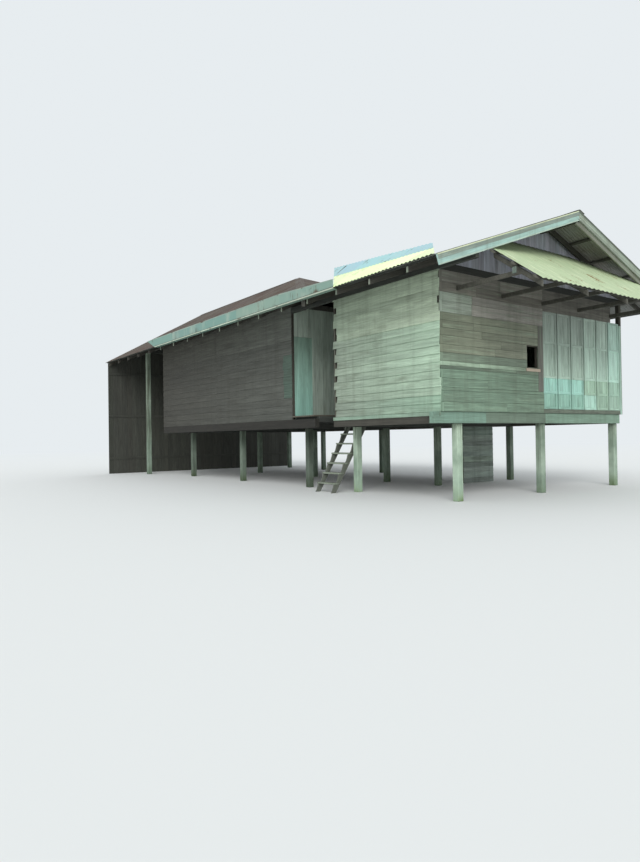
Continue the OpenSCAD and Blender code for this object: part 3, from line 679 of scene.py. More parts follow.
for i in range(leaves):
    x0 = low.x + i * leaf_step + (PANEL_GAP / 2 if i else 0)
    x1 = low.x + (i + 1) * leaf_step - (PANEL_GAP / 2 if i < leaves - 1 else 0.03)
    kind = PANEL_SHADES[i]
    rails = (low.z,) + PANEL_RAILS + (high.z - STILE,)
    fields = (PANEL_BRIGHT if i == 3 else PANEL_LOW[kind], PANEL_MID[kind], PANEL_UP[kind],
              PANEL_UP[kind])
    for k, (z0, z1) in enumerate(zip(rails, rails[1:])):
        # The upper fields darken toward the top: painted shade from the canopy.
        tones = (PANEL_UP[kind], PANEL_TOP_SHADE[kind]) if k > 1 else (fields[k], fields[k])
        level = rng.uniform(0.97, 1.03)
        top = high.z if k == 3 else z1
        for a in (x0, x1 - STILE):
            toned_board(bm, (a, low.y, z0), (a + STILE, high.y, top), 2, PANEL_SHADE_FROM, high.z, tones,
                        rng, level * 0.98)
        for z in (z0, high.z - STILE) if k == 3 else (z0,):
            toned_board(bm, (x0 + STILE, low.y + 0.001, z), (x1 - STILE, high.y - 0.001, z + STILE),
                        2, PANEL_SHADE_FROM, high.z, tones, rng, level)
        width = (x1 - x0 - 2 * STILE) / 2
        for n in range(2):
            a = x0 + STILE + n * width
            y0 = low.y + STILE_PROUD + rng.uniform(0, 0.003)
            toned_board(bm, (a + 0.001, y0, z0 + STILE), (a + width - 0.001, y0 + 0.014, z1), 2,
                        PANEL_SHADE_FROM, high.z, tones, rng, spread=0.035)
place_piece("folding_panel_leaves", bm, PANEL_WOOD, "panel_wood", "folding_panels")
dressed_nodes("panel_sill_and_head", DARK_WOOD, "timber_dark", SILL_AND_HEAD, 33, "panel_frame")


# Right wall and back wall of the front room: upright boards on studs. The right wall stops
# at the head of the panels and leaves the top open between posts; the back wall has a
# doorway to the landing.
SIDE_BOARD = 0.16
STUD_BACK = 0.024
SIDE_GREY = (122, 132, 114)
CORNER_PALE = (168, 200, 182)
VENT_POSTS = 4
DOOR_HEAD = 4.2
BACK_DOOR = (0.45, 1.25)


def upright_boards(bm, low, high, axis, outer, rgb, rng, holes=(), width=SIDE_BOARD, thick=BOARD_T):
    """Boards side by side on one face of a wall; outer is -1 for the low face, 1 for the high
    one. Each hole is a span along the wall and a span of height that the boards leave free."""
    count = round((high[axis] - low[axis]) / width)
    step = (high[axis] - low[axis]) / count
    other = 1 - axis
    for i in range(count):
        start = low[axis] + i * step + rng.uniform(0.001, 0.004)
        end = low[axis] + (i + 1) * step - 0.001
        parts = [(start, end, low.z, high.z)]
        for along, tall in holes:
            if end > along[0] + 0.01 and start < along[1] - 0.01:
                parts = [(start, along[0], *tall), (along[1], end, *tall),
                         (start, end, low.z, tall[0]), (start, end, tall[1], high.z)]
        for first, last, z0, z1 in parts:
            if last - first < 0.01 or z1 - z0 < 0.02:
                continue
            a, b = Vector(low), Vector(high)
            a[axis], b[axis] = first, last
            a.z, b.z = z0, z1
            set_back = rng.uniform(0, 0.003)
            if outer < 0:
                a[other] += set_back
                b[other] = low[other] + thick
            else:
                b[other] -= set_back
                a[other] = high[other] - thick
            board(bm, a, b, varied(rgb, rng, 0.07), rng)


low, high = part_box("right_wall")
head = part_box("folding_panels")[1].z
bm, rng = begin(41)
solid_top = Vector((high.x, high.y, head))
studs(bm, low + Vector((0, STUD_BACK, 0)), solid_top, 1, (0, STUD_BACK), rng)
upright_boards(bm, low, solid_top, 1, 1, SIDE_GREY, rng)
board(bm, low, (high.x - 0.026, low.y + BOARD_T, head), tint(*CORNER_PALE), rng)
post_step = (high.y - low.y - (high.x - low.x)) / (VENT_POSTS - 1)
for i in range(VENT_POSTS):
    y = low.y + i * post_step
    board(bm, (low.x, y, head), (high.x, y + high.x - low.x, high.z), varied(STUD_BROWN, rng), rng)
board(bm, (low.x, low.y, head - 0.05), (high.x, high.y, head), varied(STUD_BROWN, rng), rng)
place_piece("right_wall_boards", bm, GREY_WOOD, "timber_grey", "right_wall")

low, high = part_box("back_wall")
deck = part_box("front_floor")[1].z
back_door = [well_right + x for x in BACK_DOOR]
bm, rng = begin(43)
studs(bm, low, Vector((back_door[0], high.y, high.z)), 0, (0, STUD_BACK), rng)
studs(bm, Vector((back_door[1], low.y, low.z)), high, 0, (0, STUD_BACK), rng)
upright_boards(bm, low, high, 0, 1, SIDE_GREY, rng, holes=((back_door, (deck, DOOR_HEAD)),))
place_piece("back_wall_boards", bm, GREY_WOOD, "timber_grey", "back_wall")


# Boarded gable over the front wall: upright boards cut to the slope of the roof, painted
# pale blue-grey as painted light; they still look dark in the shade under the roof and canopy.
GABLE_LIT_PALE = (182, 184, 194)
GABLE_BOARD = 0.19
EAVE_Z = 4.70
FRONT_PITCH = math.radians(20.2)
PURLIN_DROP = 0.04


def trim(bm, point, outward, drop=True):
    """Cuts a mesh by a plane and drops what lies on its outward side; gives the cut back."""
    everything = bm.verts[:] + bm.edges[:] + bm.faces[:]
    return bmesh.ops.bisect_plane(bm, geom=everything, dist=1e-5, plane_co=point, plane_no=outward,
                                  clear_outer=drop)["geom_cut"]


def trim_solids(bm, point, outward):
    """Trims solid pieces by a plane and closes them along the cut."""
    edges = [g for g in trim(bm, point, outward) if isinstance(g, bmesh.types.BMEdge)]
    bmesh.ops.holes_fill(bm, edges=edges, sides=0)


def trim_to_roof(bm, pitch):
    """Trims the boards of a gable along both slopes of a roof, under its purlins."""
    for turn in (-1, 1):
        point = (ridge_x + turn * (ridge_x - eave.x), 0, EAVE_Z - PURLIN_DROP / math.cos(pitch))
        trim_solids(bm, point, (turn * math.sin(pitch), 0, math.cos(pitch)))


roof_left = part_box("front_roof_left")
ridge_x = roof_left[1].x
eave = Vector((roof_left[0].x, 0, EAVE_Z))
low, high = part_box("front_gable")
bm, rng = begin(45)
upright_boards(bm, low, high, 0, -1, GABLE_LIT_PALE, rng, width=GABLE_BOARD)
trim_to_roof(bm, FRONT_PITCH)
place_piece("front_gable_boards", bm, BROWN_WOOD, "timber_dark", "front_gable", arris=0)


# Rear room: long brown walls of lapped boards, a grey front of upright boards with the
# doorway at its left end, and a plain back wall.
REAR_BROWN = ((86, 89, 82), (66, 65, 58))
REAR_GREEN = (76, 95, 83)
REAR_GREY = ((146, 160, 148), (190, 206, 190))
REAR_LAP = 0.2
REAR_OVER = 0.02
REAR_BOARD = 0.02
REAR_LEAN = 0.012
REAR_JOINTS = (0.33, 0.5, 0.66)
GREEN_Z = (2.4, 3.6)
REAR_LIT_FROM = 3.95
REAR_FADE = (2.3, 4.0)
for node, outer, seed in (("rear_left_wall", -1, 51), ("rear_right_wall", 1, 52)):
    low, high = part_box(node)
    bm, rng = begin(seed)
    studs(bm, low, high, 1, (0.03, 0) if outer < 0 else (0, 0.03), rng)
    for i in range(math.ceil((high.z - low.z) / REAR_LAP)):
        z0 = low.z + i * REAR_LAP
        z1 = min(z0 + REAR_LAP + REAR_OVER, high.z)
        joints = [low.y, low.y + (high.y - low.y) * rng.choice(REAR_JOINTS), high.y]
        green = outer < 0 and GREEN_Z[0] < z0 < GREEN_Z[1]
        if green:
            joints.insert(1, low.y + rng.uniform(0.4, 0.46))
        for k, (a, b) in enumerate(zip(joints, joints[1:])):
            face = low.x if outer < 0 else high.x - REAR_BOARD
            made = board(bm, (face, a + HALF_JOINT, z0), (face + REAR_BOARD, b - HALF_JOINT, z1),
                         tint(*REAR_GREEN), rng)
            # The tones along the boards are painted light and shade: lighter at the near end, where light
            # comes in past the landing, darker toward the far end, and the top courses lighter again
            # against the shade of the eave.
            if k or not green:
                tone_along(bm, made, 1, low.y, high.y, REAR_BROWN,
                     rng.uniform(0.96, 1.04) * (1.22 if z0 > REAR_LIT_FROM else 1.0))
            tip(made, 0, -outer * REAR_LEAN)
    place_piece(node + "_boards", bm, BROWN_WOOD, "timber_brown", node)

low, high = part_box("rear_front_wall")
door_low, door_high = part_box("rear_door")
bm, rng = begin(53)
studs(bm, Vector((door_high.x, low.y, low.z)), high, 0, (STUD_BACK, 0), rng)
upright_boards(bm, low, high, 0, -1, REAR_GREY[0], rng,
               holes=(((low.x - 0.1, door_high.x), (deck, DOOR_HEAD)),))
# The boards facing the landing are painted light: lighter overall and lighter still toward the top,
# against the shade under the eave.
for group in islands(bm):
    if max(v.co.y for v in group) < low.y + 0.03:
        tone_along(bm, group, 2, *REAR_FADE, REAR_GREY, rng.uniform(0.94, 1.06))
place_piece("rear_front_boards", bm, GREY_WOOD, "timber_grey", "rear_front_wall")

low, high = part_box("rear_back_wall")
bm, rng = begin(54)
studs(bm, low, high, 0, (0, STUD_BACK), rng)
upright_boards(bm, low, high, 0, 1, REAR_BROWN[0], rng)
place_piece("rear_back_boards", bm, BROWN_WOOD, "timber_brown", "rear_back_wall")


# Door leaf: four upright boards with faded blue-green paint, held by three ledges behind.
DOOR_TEAL = ((140, 190, 174), (154, 187, 168))
DOOR_BOARDS = 4
LEDGES = (0.2, 1.0, 1.85)
LEDGE = 0.12
LEAF_BOARD = 0.018
PAINTED_WOOD = weathered_wood("faded_door_paint", 0.22, (84, 92, 78), 0.6, 0.65, 0.35)
# The teal is painted lighter than the paint itself, as painted light against the shade over the landing.
bm, rng = begin(55)
step = (door_high.x - door_low.x) / DOOR_BOARDS
for i in range(DOOR_BOARDS):
    x0 = door_low.x + i * step
    toned_board(bm, (x0 + 0.0015, door_low.y, door_low.z),
                (x0 + step - 0.0015, door_low.y + LEAF_BOARD, door_high.z), 2, *REAR_FADE, DOOR_TEAL, rng)
for z in LEDGES:
    board(bm, (door_low.x + 0.02, door_low.y + LEAF_BOARD, door_low.z + z),
          (door_high.x - 0.02, door_high.y, door_low.z + z + LEDGE), varied(DOOR_TEAL[0], rng), rng)
place_piece("rear_door_leaf", bm, PAINTED_WOOD, "door_teal", "rear_door")


# End wall of the bay: rough near-black boards on three rails, standing on the ground and
# cut to the slopes of the rear roof.
# The near-black colour is partly painted shade, standing for the deep shade in the bay.
END_BLACK = (62, 64, 56)
END_BOARD = 0.2
END_RAILS = (0.6, 2.4, 4.2)
REAR_PITCH = math.radians(29.1)
BLACK_WOOD = weathered_wood("black_boards", 0.4, (40, 38, 32), 0.5)
low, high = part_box("rear_end_wall")
bm, rng = begin(57)
upright_boards(bm, low, high, 0, 1, END_BLACK, rng, width=END_BOARD)
for z in END_RAILS:
    board(bm, (low.x, low.y, z), (high.x, low.y + 0.026, z + 0.1), varied(END_BLACK, rng), rng)
trim_to_roof(bm, REAR_PITCH)
place_piece("rear_end_boards", bm, BLACK_WOOD, "timber_black", "rear_end_wall", arris=0)


# Roof frame: plates on the walls, ties across them, king posts, ridge beams, rafters
# notched over the plates, hip and valley beams and the purlins that carry the sheets. Thin
# pale ends on the rafter tails under the near eave are a painted highlight, where light
# catches the end grain.
FRAME_BROWN = (80, 79, 71)
TAIL_HIGHLIGHT = (138, 148, 130)
TAILS = 12
TAIL_FIRST = -0.35
TAIL_GAP = 1.13
TAIL_HALF = 0.026
TAIL_Z = (4.567, 4.678)
dressed_nodes("wall_plates_and_ties", DARK_WOOD, "timber_dark", (FRAME_BROWN, BEAM_BROWN), 61,
              "wall_plates", "tie_beams", "ridge_beams")
dressed_nodes("hip_and_valley_beams", DARK_WOOD, "timber_dark", (FRAME_BROWN,), 62, "hip_beams")
dressed_nodes("purlins_sawn", DARK_WOOD, "timber_dark", (FRAME_BROWN, BEAM_BROWN), 63,
              "front_purlins", "rear_purlins")
dressed_nodes("rafters_sawn", DARK_WOOD, "timber_dark", (FRAME_BROWN, BEAM_NEAR), 64,
              "front_rafters", "rear_rafters")
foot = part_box("front_rafters")[0].x
bm, rng = begin(65)
for i in range(TAILS):
    y = TAIL_FIRST + i * TAIL_GAP
    board(bm, (foot - 0.004, y - TAIL_HALF, TAIL_Z[0]), (foot, y + TAIL_HALF, TAIL_Z[1]),
          varied(TAIL_HIGHLIGHT, rng, 0.12), rng)
place_piece("rafter_tail_ends", bm, PALE_BEAM_WOOD, "timber_dark", arris=0.001)


# Roof covering: rolled corrugated sheets in rows from the eaves up, each lapped one
# corrugation over its neighbour and each row over the one below. The front roof is pale
# weathered zinc, the rear roof and the hip are rusted brown.
PITCH = 0.076
DEPTH = 0.017
SHEET_COVER = 0.76
SHEET_T = 0.025
WAVE_STEPS = 6
ROW_LAP = 0.15
UNDERSIDE = (142, 144, 141)
UNDERSIDE_RUST = (124, 120, 112)
UNDERSIDE_SOOT = (48, 44, 38)
ZINC = (150, 158, 144)
RUST = (88, 80, 72)


def rolled_sheet(name, rust_share, rust, bright, rough, metallic):
    """Corrugated sheet: its own colour bleached in streaks, rust in clouds, flecks and
    streaks that run down the slope, and a fine tooth of corrosion."""
    material, tree, shader = new_finish(name)
    run = carried(tree, "grain")
    clouds = mottle(tree, run, (1.6, 2.4, 1), 6)
    streaks = mottle(tree, run, (0.7, 15, 1), 5, 0.65)
    flecks = mottle(tree, run, (22, 30, 1), 4, 0.7)
    bleach = mottle(tree, run, (2.5, 26, 1), 3)
    colour = overlay(tree, carried(tree, "paint"), bleach, 0.5, 0.75, 0.5, bright)
    rusty = wire(tree, "Math", {0: product(tree, streaks, clouds), 1: product(tree, flecks, clouds)},
                 operation="ADD").outputs[0]
    mask = rescale(tree, rusty, 0.72 - 0.36 * rust_share, 0.86 - 0.3 * rust_share)
    rust_colour = mixed(tree, flecks, tint(*(c * 0.62 for c in rust)), tint(*rust))
    shader.inputs["Metallic"].default_value = metallic
    surface(tree, shader, mixed(tree, mask, colour, rust_colour),
            rescale(tree, mask, 0, 1, rough, 0.95), bumped(tree, flecks, 0.25, 0.002))
    return material


def soot_and_shade_sheet(name):
    """The underside of the sheets: dull, dark partly with smoke and dust and partly as painted shade
    under the roof, with faint rust.
    """
    material, tree, shader = new_finish(name)
    place = object_place(tree)
    clouds = mottle(tree, place, (1.4, 1.4, 1.4), 5)
    specks = mottle(tree, place, (14, 14, 14), 4)
    colour = mixed(tree, rescale(tree, clouds, 0.35, 0.65), tint(*UNDERSIDE), tint(*UNDERSIDE_RUST))
    colour = overlay(tree, colour, specks, 0.55, 0.7, 0.4, UNDERSIDE_SOOT)
    surface(tree, shader, colour, 0.85)
    return material


def upward(first, second):
    """The unit normal, turned upward, of a slope that holds both directions."""
    normal = first.cross(second).normalized()
    return -normal if normal.z < 0 else normal


def lay_sheet(bm, corner, across, down, width, length, rgb, rng, pitch=PITCH, depth=DEPTH, rows=4):
    """One sheet: a grid rolled into corrugations that run down from its upper edge."""
    columns = max(4, round(width / pitch * WAVE_STEPS))
    made = bmesh.ops.create_grid(bm, x_segments=columns, y_segments=rows, size=0.5)["verts"]
    normal = upward(down, across)
    paint, grain = corner_layers(bm)
    colour = varied(rgb, rng, 0.08, 0.02)
    shift = Vector((rng.uniform(0, 50), rng.uniform(0, 50), rng.uniform(0, 50)))
    for v in made:
        u = (v.co.x + 0.5) * width
        w = (v.co.y + 0.5) * length
        rise = depth / 2 * math.cos(2 * math.pi * u / pitch)
        v.co = corner + across * u + down * w + normal * rise
        v[paint] = colour
        v[grain] = Vector((w, u, 0)) + shift
    return made


def slope_sheets(bm, eave_corner, across, up, width, length, rgb, rng, rows):
    """All the sheets of one slope, from the eave's corner up."""
    columns = math.ceil(width / SHEET_COVER)
    row_length = length / rows
    normal = upward(across, up)
    for row in range(rows):
        top = min((row + 1) * row_length + ROW_LAP, length)
        for column in range(columns):
            start = column * SHEET_COVER
            sheet_w = min(SHEET_COVER + PITCH, width - start)
            over = 0.0015 * ((row + column) % 2) + 0.003 * (row % 2)
            corner = eave_corner + across * start + up * top + normal * (SHEET_T / 2 + over)
            ragged = rng.uniform(-0.034, -0.024) if row == 0 else rng.uniform(-0.02, 0.02)
            lay_sheet(bm, corner, across, -up, sheet_w, top - row * row_length + ragged, rgb, rng)


def place_sheets(name, bm, material, slot, *nodes, thick=0.0016):
    """Rolled or folded sheet of one gauge, weathered above, and underneath sooty and darkened as painted
    shade.
    """
    bm.normal_update()
    bmesh.ops.reverse_faces(bm, faces=[f for f in bm.faces if f.normal.z < 0])
    for edge in bm.edges:
        edge.smooth = not edge.is_boundary
    piece = place_piece(name, bm, material, slot, *nodes, arris=0)
    piece.data.materials.append(SOOT_AND_SHADE_SHEET)
    for polygon in piece.data.polygons:
        polygon.use_smooth = True
    wall = piece.modifiers.new("gauge", "SOLIDIFY")
    wall.thickness = thick
    wall.offset = 0
    wall.material_offset = 1
    return piece


FRONT_RISE = math.tan(FRONT_PITCH)
REAR_RISE = math.tan(REAR_PITCH)
HIP_Y = 3.1
HIP_RUN = 6.9
VALLEY_TRIM = 0.08
half_span = ridge_x - eave.x
verge = roof_left[0].y
ridge_start = HIP_Y + HIP_RUN
hip_rise = half_span * REAR_RISE / HIP_RUN
valley_end = HIP_Y + half_span * FRONT_RISE / hip_rise
roof_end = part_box("rear_roof_left")[1].y
SOOT_AND_SHADE_SHEET = soot_and_shade_sheet("soot_and_shade_underside")
ZINC_SHEET = rolled_sheet("weathered_zinc", 0.35, (110, 86, 66), (188, 196, 178), 0.5, 0.25)
RUST_SHEET = rolled_sheet("rusted_sheet", 0.7, (98, 78, 66), (118, 116, 104), 0.7, 0.1)
for turn, hand in ((1, "left"), (-1, "right")):
    edge_x = ridge_x - turn * half_span
    for part, pitch, start, end, rows, rgb, material, slot in (
            ("front", FRONT_PITCH, verge, valley_end, 2, ZINC, ZINC_SHEET, "sheet_zinc"),
            ("rear", REAR_PITCH, HIP_Y, roof_end, 3, RUST, RUST_SHEET, "sheet_rust")):
        bm, rng = begin(part + hand)
        up = Vector((turn * math.cos(pitch), 0, math.sin(pitch)))
        slope_sheets(bm, Vector((edge_x, start, eave.z)), Vector((0, 1, 0)), up, end - start,
                     half_span / math.cos(pitch), rgb, rng, rows)
        hip_corner = Vector((edge_x, HIP_Y, 0))
        outward = Vector((turn * HIP_RUN, -half_span, 0))
        if part == "front":
            outward = Vector((-turn * (valley_end - HIP_Y), half_span, 0)).normalized()
            hip_corner -= outward * VALLEY_TRIM
        trim(bm, hip_corner, outward)
        place_sheets(part + "_roof_sheets_" + hand, bm, material, slot, part + "_roof_" + hand)

bm, rng = begin(77)
hip_pitch = math.atan(hip_rise)
up = Vector((0, math.cos(hip_pitch), math.sin(hip_pitch)))
slope_sheets(bm, Vector((eave.x, HIP_Y, eave.z)), Vector((1, 0, 0)), up, 2 * half_span,
             HIP_RUN / math.cos(hip_pitch), RUST, rng, 4)
doomed = []
for turn in (1, -1):
    hip_corner = Vector((ridge_x - turn * half_span, HIP_Y, 0))
    inward = Vector((-turn * (valley_end - HIP_Y), half_span, 0)).normalized()
    trim(bm, hip_corner, (-turn * HIP_RUN, half_span, 0))
    trim(bm, hip_corner + inward * VALLEY_TRIM, inward, drop=False)
    for f in bm.faces:
        middle = f.calc_center_median()
        if turn * (ridge_x - middle.x) > 0 and (middle - hip_corner).dot(inward) < VALLEY_TRIM:
            doomed.append(f)
bmesh.ops.delete(bm, geom=[f for f in doomed if f.is_valid], context="FACES")
place_sheets("hip_roof_sheets", bm, RUST_SHEET, "sheet_rust", "hip_roof")


# Ridge caps: zinc folded over each ridge, in lengths lapped end over end; the rear ones are
# dull with rust. Folded trays line the valleys and folded caps cover the hips.
CAP_WING = 0.2
CAP_LENGTH = 1.8
CAP_LAP = 0.04
CAP_FOLD = 0.0036
CAP_DULL = (100, 94, 84)
bm, rng = begin(79)
paint, grain = corner_layers(bm)
ridge_front = eave.z + half_span * FRONT_RISE + SHEET_T / math.cos(FRONT_PITCH)
ridge_rear = eave.z + half_span * REAR_RISE + SHEET_T / math.cos(REAR_PITCH)
for shade, z_ridge, rise, pitch, start, end in (
        (ZINC, ridge_front, FRONT_RISE, FRONT_PITCH, verge, valley_end + 0.02),
        (CAP_DULL, ridge_rear, REAR_RISE, REAR_PITCH, ridge_start + CAP_WING, roof_end)):
    lengths = math.ceil((end - start) / CAP_LENGTH)
    step = (end - start) / lengths
    for i in range(lengths):
        made = bmesh.ops.create_grid(bm, x_segments=10, y_segments=2, size=0.5)["verts"]
        colour = varied(shade, rng, 0.1)
        for v in made:
            across = v.co.x * 2 * CAP_WING
            y = start + (i + v.co.y + 0.5) * step + (CAP_LAP * v.co.y if i < lengths - 1 else 0)
            fold = CAP_FOLD * math.exp(-(across / 0.025) ** 2)
            x = across * math.cos(pitch)
            v[grain] = Vector((across, y, 0))
            v.co = Vector((ridge_x + x, min(y, end), z_ridge - abs(x) * rise + 0.009
                           + 0.002 * (i % 2) - fold))
            v[paint] = colour
caps = place_sheets("ridge_caps_folded", bm, ZINC_SHEET, "sheet_zinc", "ridge_caps", thick=0.002)
for material in (RUST_SHEET, SOOT_AND_SHADE_SHEET):
    caps.data.materials.append(material)
for polygon in caps.data.polygons:
    if polygon.center.y > ridge_start:
        polygon.material_index = 2

VALLEY_WING = 0.13
HIP_WING = 0.15
for name, rgb, material, slot, along_y, wing, pick, rise, lift in (
        ("valley_trays", ZINC, ZINC_SHEET, "sheet_zinc", valley_end - HIP_Y, VALLEY_WING, max,
         FRONT_RISE, 0.003),
        ("hip_caps_folded", RUST, RUST_SHEET, "sheet_rust", HIP_RUN, HIP_WING, min, REAR_RISE, 0.028)):
    bm = timber_mesh()
    paint, grain = corner_layers(bm)
    for turn in (1, -1):
        run = Vector((turn * half_span, along_y, 0))
        across = Vector((-run.y, run.x, 0)).normalized()
        made = bmesh.ops.create_grid(bm, x_segments=14, y_segments=6, size=0.5)["verts"]
        colour = varied(rgb, rng, 0.06)
        for v in made:
            share, wide = v.co.x + 0.5, v.co.y * 2 * wing
            v[grain] = Vector((share * run.length, wide, 0))
            spot = Vector((ridge_x - turn * half_span, HIP_Y, 0)) + run * share + across * wide
            spot.x = min(max(spot.x, eave.x + 0.02), ridge_x + half_span - 0.02)
            slope = half_span - abs(spot.x - ridge_x)
            v.co = Vector((spot.x, spot.y,
                           eave.z + pick(slope * rise, (spot.y - HIP_Y) * hip_rise) + lift))
            v[paint] = colour
    place_sheets(name, bm, material, slot, thick=0.001)


# Barge boards on the front verge: painted pale green. The left one has a darker grey-green upper
# half under a cream metal lip, and a bright bead along its foot. The right one is mottled, dark
# along its edges round a pale line, with a second, brown board behind and below it.
BARGE_GREEN = (156, 190, 180)
BARGE_MOTTLED = (140, 152, 136)
BARGE_WOOD = weathered_wood("barge_paint", 0.24, (96, 94, 78), 0.55, 0.7, 0.3,
                            silver=(176, 196, 176), silvered=0.4)
# Strips on their faces: side (1 is left), depth under the roof, width, thickness, colour
BARGE_STRIPS = ((1, 0.012, 0.024, 0.004, (205, 212, 176)), (1, 0.092, 0.076, 0.003, (128, 142, 132)),
                (1, 0.198, 0.024, 0.004, (176, 196, 180)), (-1, 0.026, 0.036, 0.004, (82, 92, 78)),
                (-1, 0.114, 0.022, 0.003, (164, 176, 156)), (-1, 0.198, 0.014, 0.004, (88, 92, 80)))
# The brown board behind the right one: thickness, depth under the roof, width, colour
SECOND_BOARD = (0.03, 0.31, 0.15, (116, 119, 105))
low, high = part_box("barge_boards")
bm, rng = begin(81)
add_node(bm, "barge_boards")
for group in islands(bm):
    left = sum(v.co.x for v in group) / len(group) < ridge_x
    dress(bm, group, tint(*(BARGE_GREEN if left else BARGE_MOTTLED)), rng)
place_piece("barge_boards_painted", bm, BARGE_WOOD, "barge_paint", "barge_boards", arris=0.004)
bm = timber_mesh()
slope_len = half_span / math.cos(FRONT_PITCH)
strips = [(turn, low.y - proud, low.y, depth, wide, rgb)
          for turn, depth, wide, proud, rgb in BARGE_STRIPS]
strips.append((-1, high.y, high.y + SECOND_BOARD[0], *SECOND_BOARD[1:]))
for turn, y0, y1, depth, wide, rgb in strips:
    made = board(bm, (0.02, y0, -depth), (slope_len - 0.01, y1, -depth + wide), tint(*rgb), rng)
    bmesh.ops.transform(bm, matrix=Matrix.Rotation(-FRONT_PITCH, 4, "Y"), verts=made)
    bmesh.ops.translate(bm, vec=(eave.x, 0, eave.z), verts=made)
    if turn < 0:
        for v in made:
            v.co.x = 2 * ridge_x - v.co.x
        bmesh.ops.reverse_faces(bm, faces=list({f for v in made for f in v.link_faces}))
place_piece("barge_lips", bm, BARGE_WOOD, "barge_paint", arris=0)


# Raised sheets over the near eave: cream sheets of wide corrugations with an upper row of
# pale blue-grey zinc, on tapered packing. The pitch grows from the front back, so the two
# rows twist, and both ends are cut on the slant.
RAISED_RUN = 3.05
RAISED_STEP = RAISED_RUN / 4
RAISED_COUNT = 6
RAISED_LAP = 0.05
LOWER_LENGTH = 0.77
UPPER_LENGTH = 0.57
ROWS_LAP = 0.02
FIRST_TILT = FRONT_PITCH + math.radians(7.7)
MORE_TILT = math.radians(2.35)
NEAR_CUT = (1, -1, 0)
FAR_CUT = (-1.25, 1, 0)
CREAM = (229, 250, 193)
CREAM_RUST = (150, 122, 74)
RAISED_ZINC = (160, 198, 203)
RAISED_PITCH = 0.11
RAISED_DEPTH = 0.02
CREAM_SHEET = rolled_sheet("cream_sheet", 0.3, CREAM_RUST, (234, 236, 204), 0.5, 0.0)
raised_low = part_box("eave_sheets")[0]
roof_top = eave.z + SHEET_T / math.cos(FRONT_PITCH)
rng = random.Random(85)
for name, rgb, material, slot, start, length in (
        ("eave_sheets", CREAM, CREAM_SHEET, "sheet_cream", 0.0, LOWER_LENGTH),
        ("upper_sheets", RAISED_ZINC, ZINC_SHEET, "sheet_zinc", LOWER_LENGTH - ROWS_LAP,
         UPPER_LENGTH + ROWS_LAP)):
    bm = timber_mesh()
    paint, grain = corner_layers(bm)
    for i in range(RAISED_COUNT):
        width = RAISED_STEP + (RAISED_LAP if i < RAISED_COUNT - 1 else 0)
        columns = round(width / RAISED_PITCH * WAVE_STEPS)
        made = bmesh.ops.create_grid(bm, x_segments=columns, y_segments=5, size=0.5)["verts"]
        shade = varied(rgb, rng, 0.05)
        shift = Vector((rng.uniform(0, 50), rng.uniform(0, 50), 0))
        ragged = rng.uniform(0, 0.012)
        for v in made:
            along = i * RAISED_STEP + (v.co.x + 0.5) * width
            climb = start + (v.co.y + 0.5) * length + (0.014 + ragged if v.co.y < -0.49 else 0)
            tilt = FIRST_TILT + MORE_TILT * (along / RAISED_STEP - 0.5)
            lift = SHEET_T / 2 + 0.0015 * (i % 2) + (0.004 if start else 0)
            lift += RAISED_DEPTH / 2 * math.cos(2 * math.pi * along / RAISED_PITCH) * 0.9
            v.co = Vector((raised_low.x + climb * math.cos(tilt) - lift * math.sin(tilt),
                           raised_low.y + along,
                           roof_top + (raised_low.x - eave.x) * math.tan(tilt)
                           + climb * math.sin(tilt) + lift * math.cos(tilt)))
            v[paint] = shade
            v[grain] = Vector((climb, along, 0)) + shift
    trim(bm, (raised_low.x, raised_low.y, 0), NEAR_CUT)
    trim(bm, (raised_low.x, raised_low.y + RAISED_RUN, 0), FAR_CUT)
    place_sheets(name + "_rolled", bm, material, slot, name)
dressed_nodes("raised_packing", DARK_WOOD, "timber_dark", (FRAME_BROWN,), 87, "eave_battens")


# Gutter: one long box of folded zinc sheet along the near eave, open on top. Its front is
# lower at the near end, has a rolled bead on top, a dark seam and a bright lip below, and is
# cut on the slant at the far end. Its seams are lapped.
GUTTER_GREY = (134, 160, 148)
GUTTER_FAR = (122, 158, 147)
GUTTER_BEAD = (146, 166, 154)
GUTTER_LIP = (188, 204, 184)
GUTTER_SEAM = (70, 78, 70)
GUTTER_NEAR = 0.21
GUTTER_GAIN = 2.2
GUTTER_CUT = 0.7
GUTTER_LAP = 0.03
BEAD_Z = 0.024
LIP_Z = 0.03
SEAM_Z = 0.044
low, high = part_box("gutter")
bm, rng = begin(88)
joints = [low.y, low.y + GUTTER_GAIN]
while joints[-1] < high.y - 0.1:
    joints.append(joints[-1] + (high.y - low.y - GUTTER_GAIN) / 4)
for i, (y0, y1) in enumerate(zip(joints, joints[1:])):
    y1 = min(y1 + GUTTER_LAP, high.y) if i else y1
    shade = varied(GUTTER_GREY if i < 2 else GUTTER_FAR, rng, 0.05)
    out = low.x + 0.0015 + 0.001 * (i % 2)
    near_drop = high.z - low.z - GUTTER_NEAR if i == 0 else 0
    for x, wide, z0, z1, colour in (
            (out, 0.004, low.z + SEAM_Z, high.z - BEAD_Z, shade),
            (out + 0.002, 0.004, low.z + LIP_Z, low.z + SEAM_Z, tint(*GUTTER_SEAM)),
            (low.x, 0.011, high.z - BEAD_Z, high.z, varied(GUTTER_BEAD, rng)),
            (low.x, 0.011, low.z, low.z + LIP_Z, varied(GUTTER_LIP, rng))):
        for v in board(bm, (x, y0, z0), (x + wide, y1, z1), colour, rng):
            if near_drop and v.co.y < y0 + 0.001 and v.co.z > high.z - 0.03:
                v.co.z -= near_drop
    board(bm, (low.x, y0, low.z + 0.0005), (high.x, y1, low.z + 0.0045), shade, rng)
trim_solids(bm, (low.x, high.y, high.z), (0, high.z - low.z, -GUTTER_CUT))
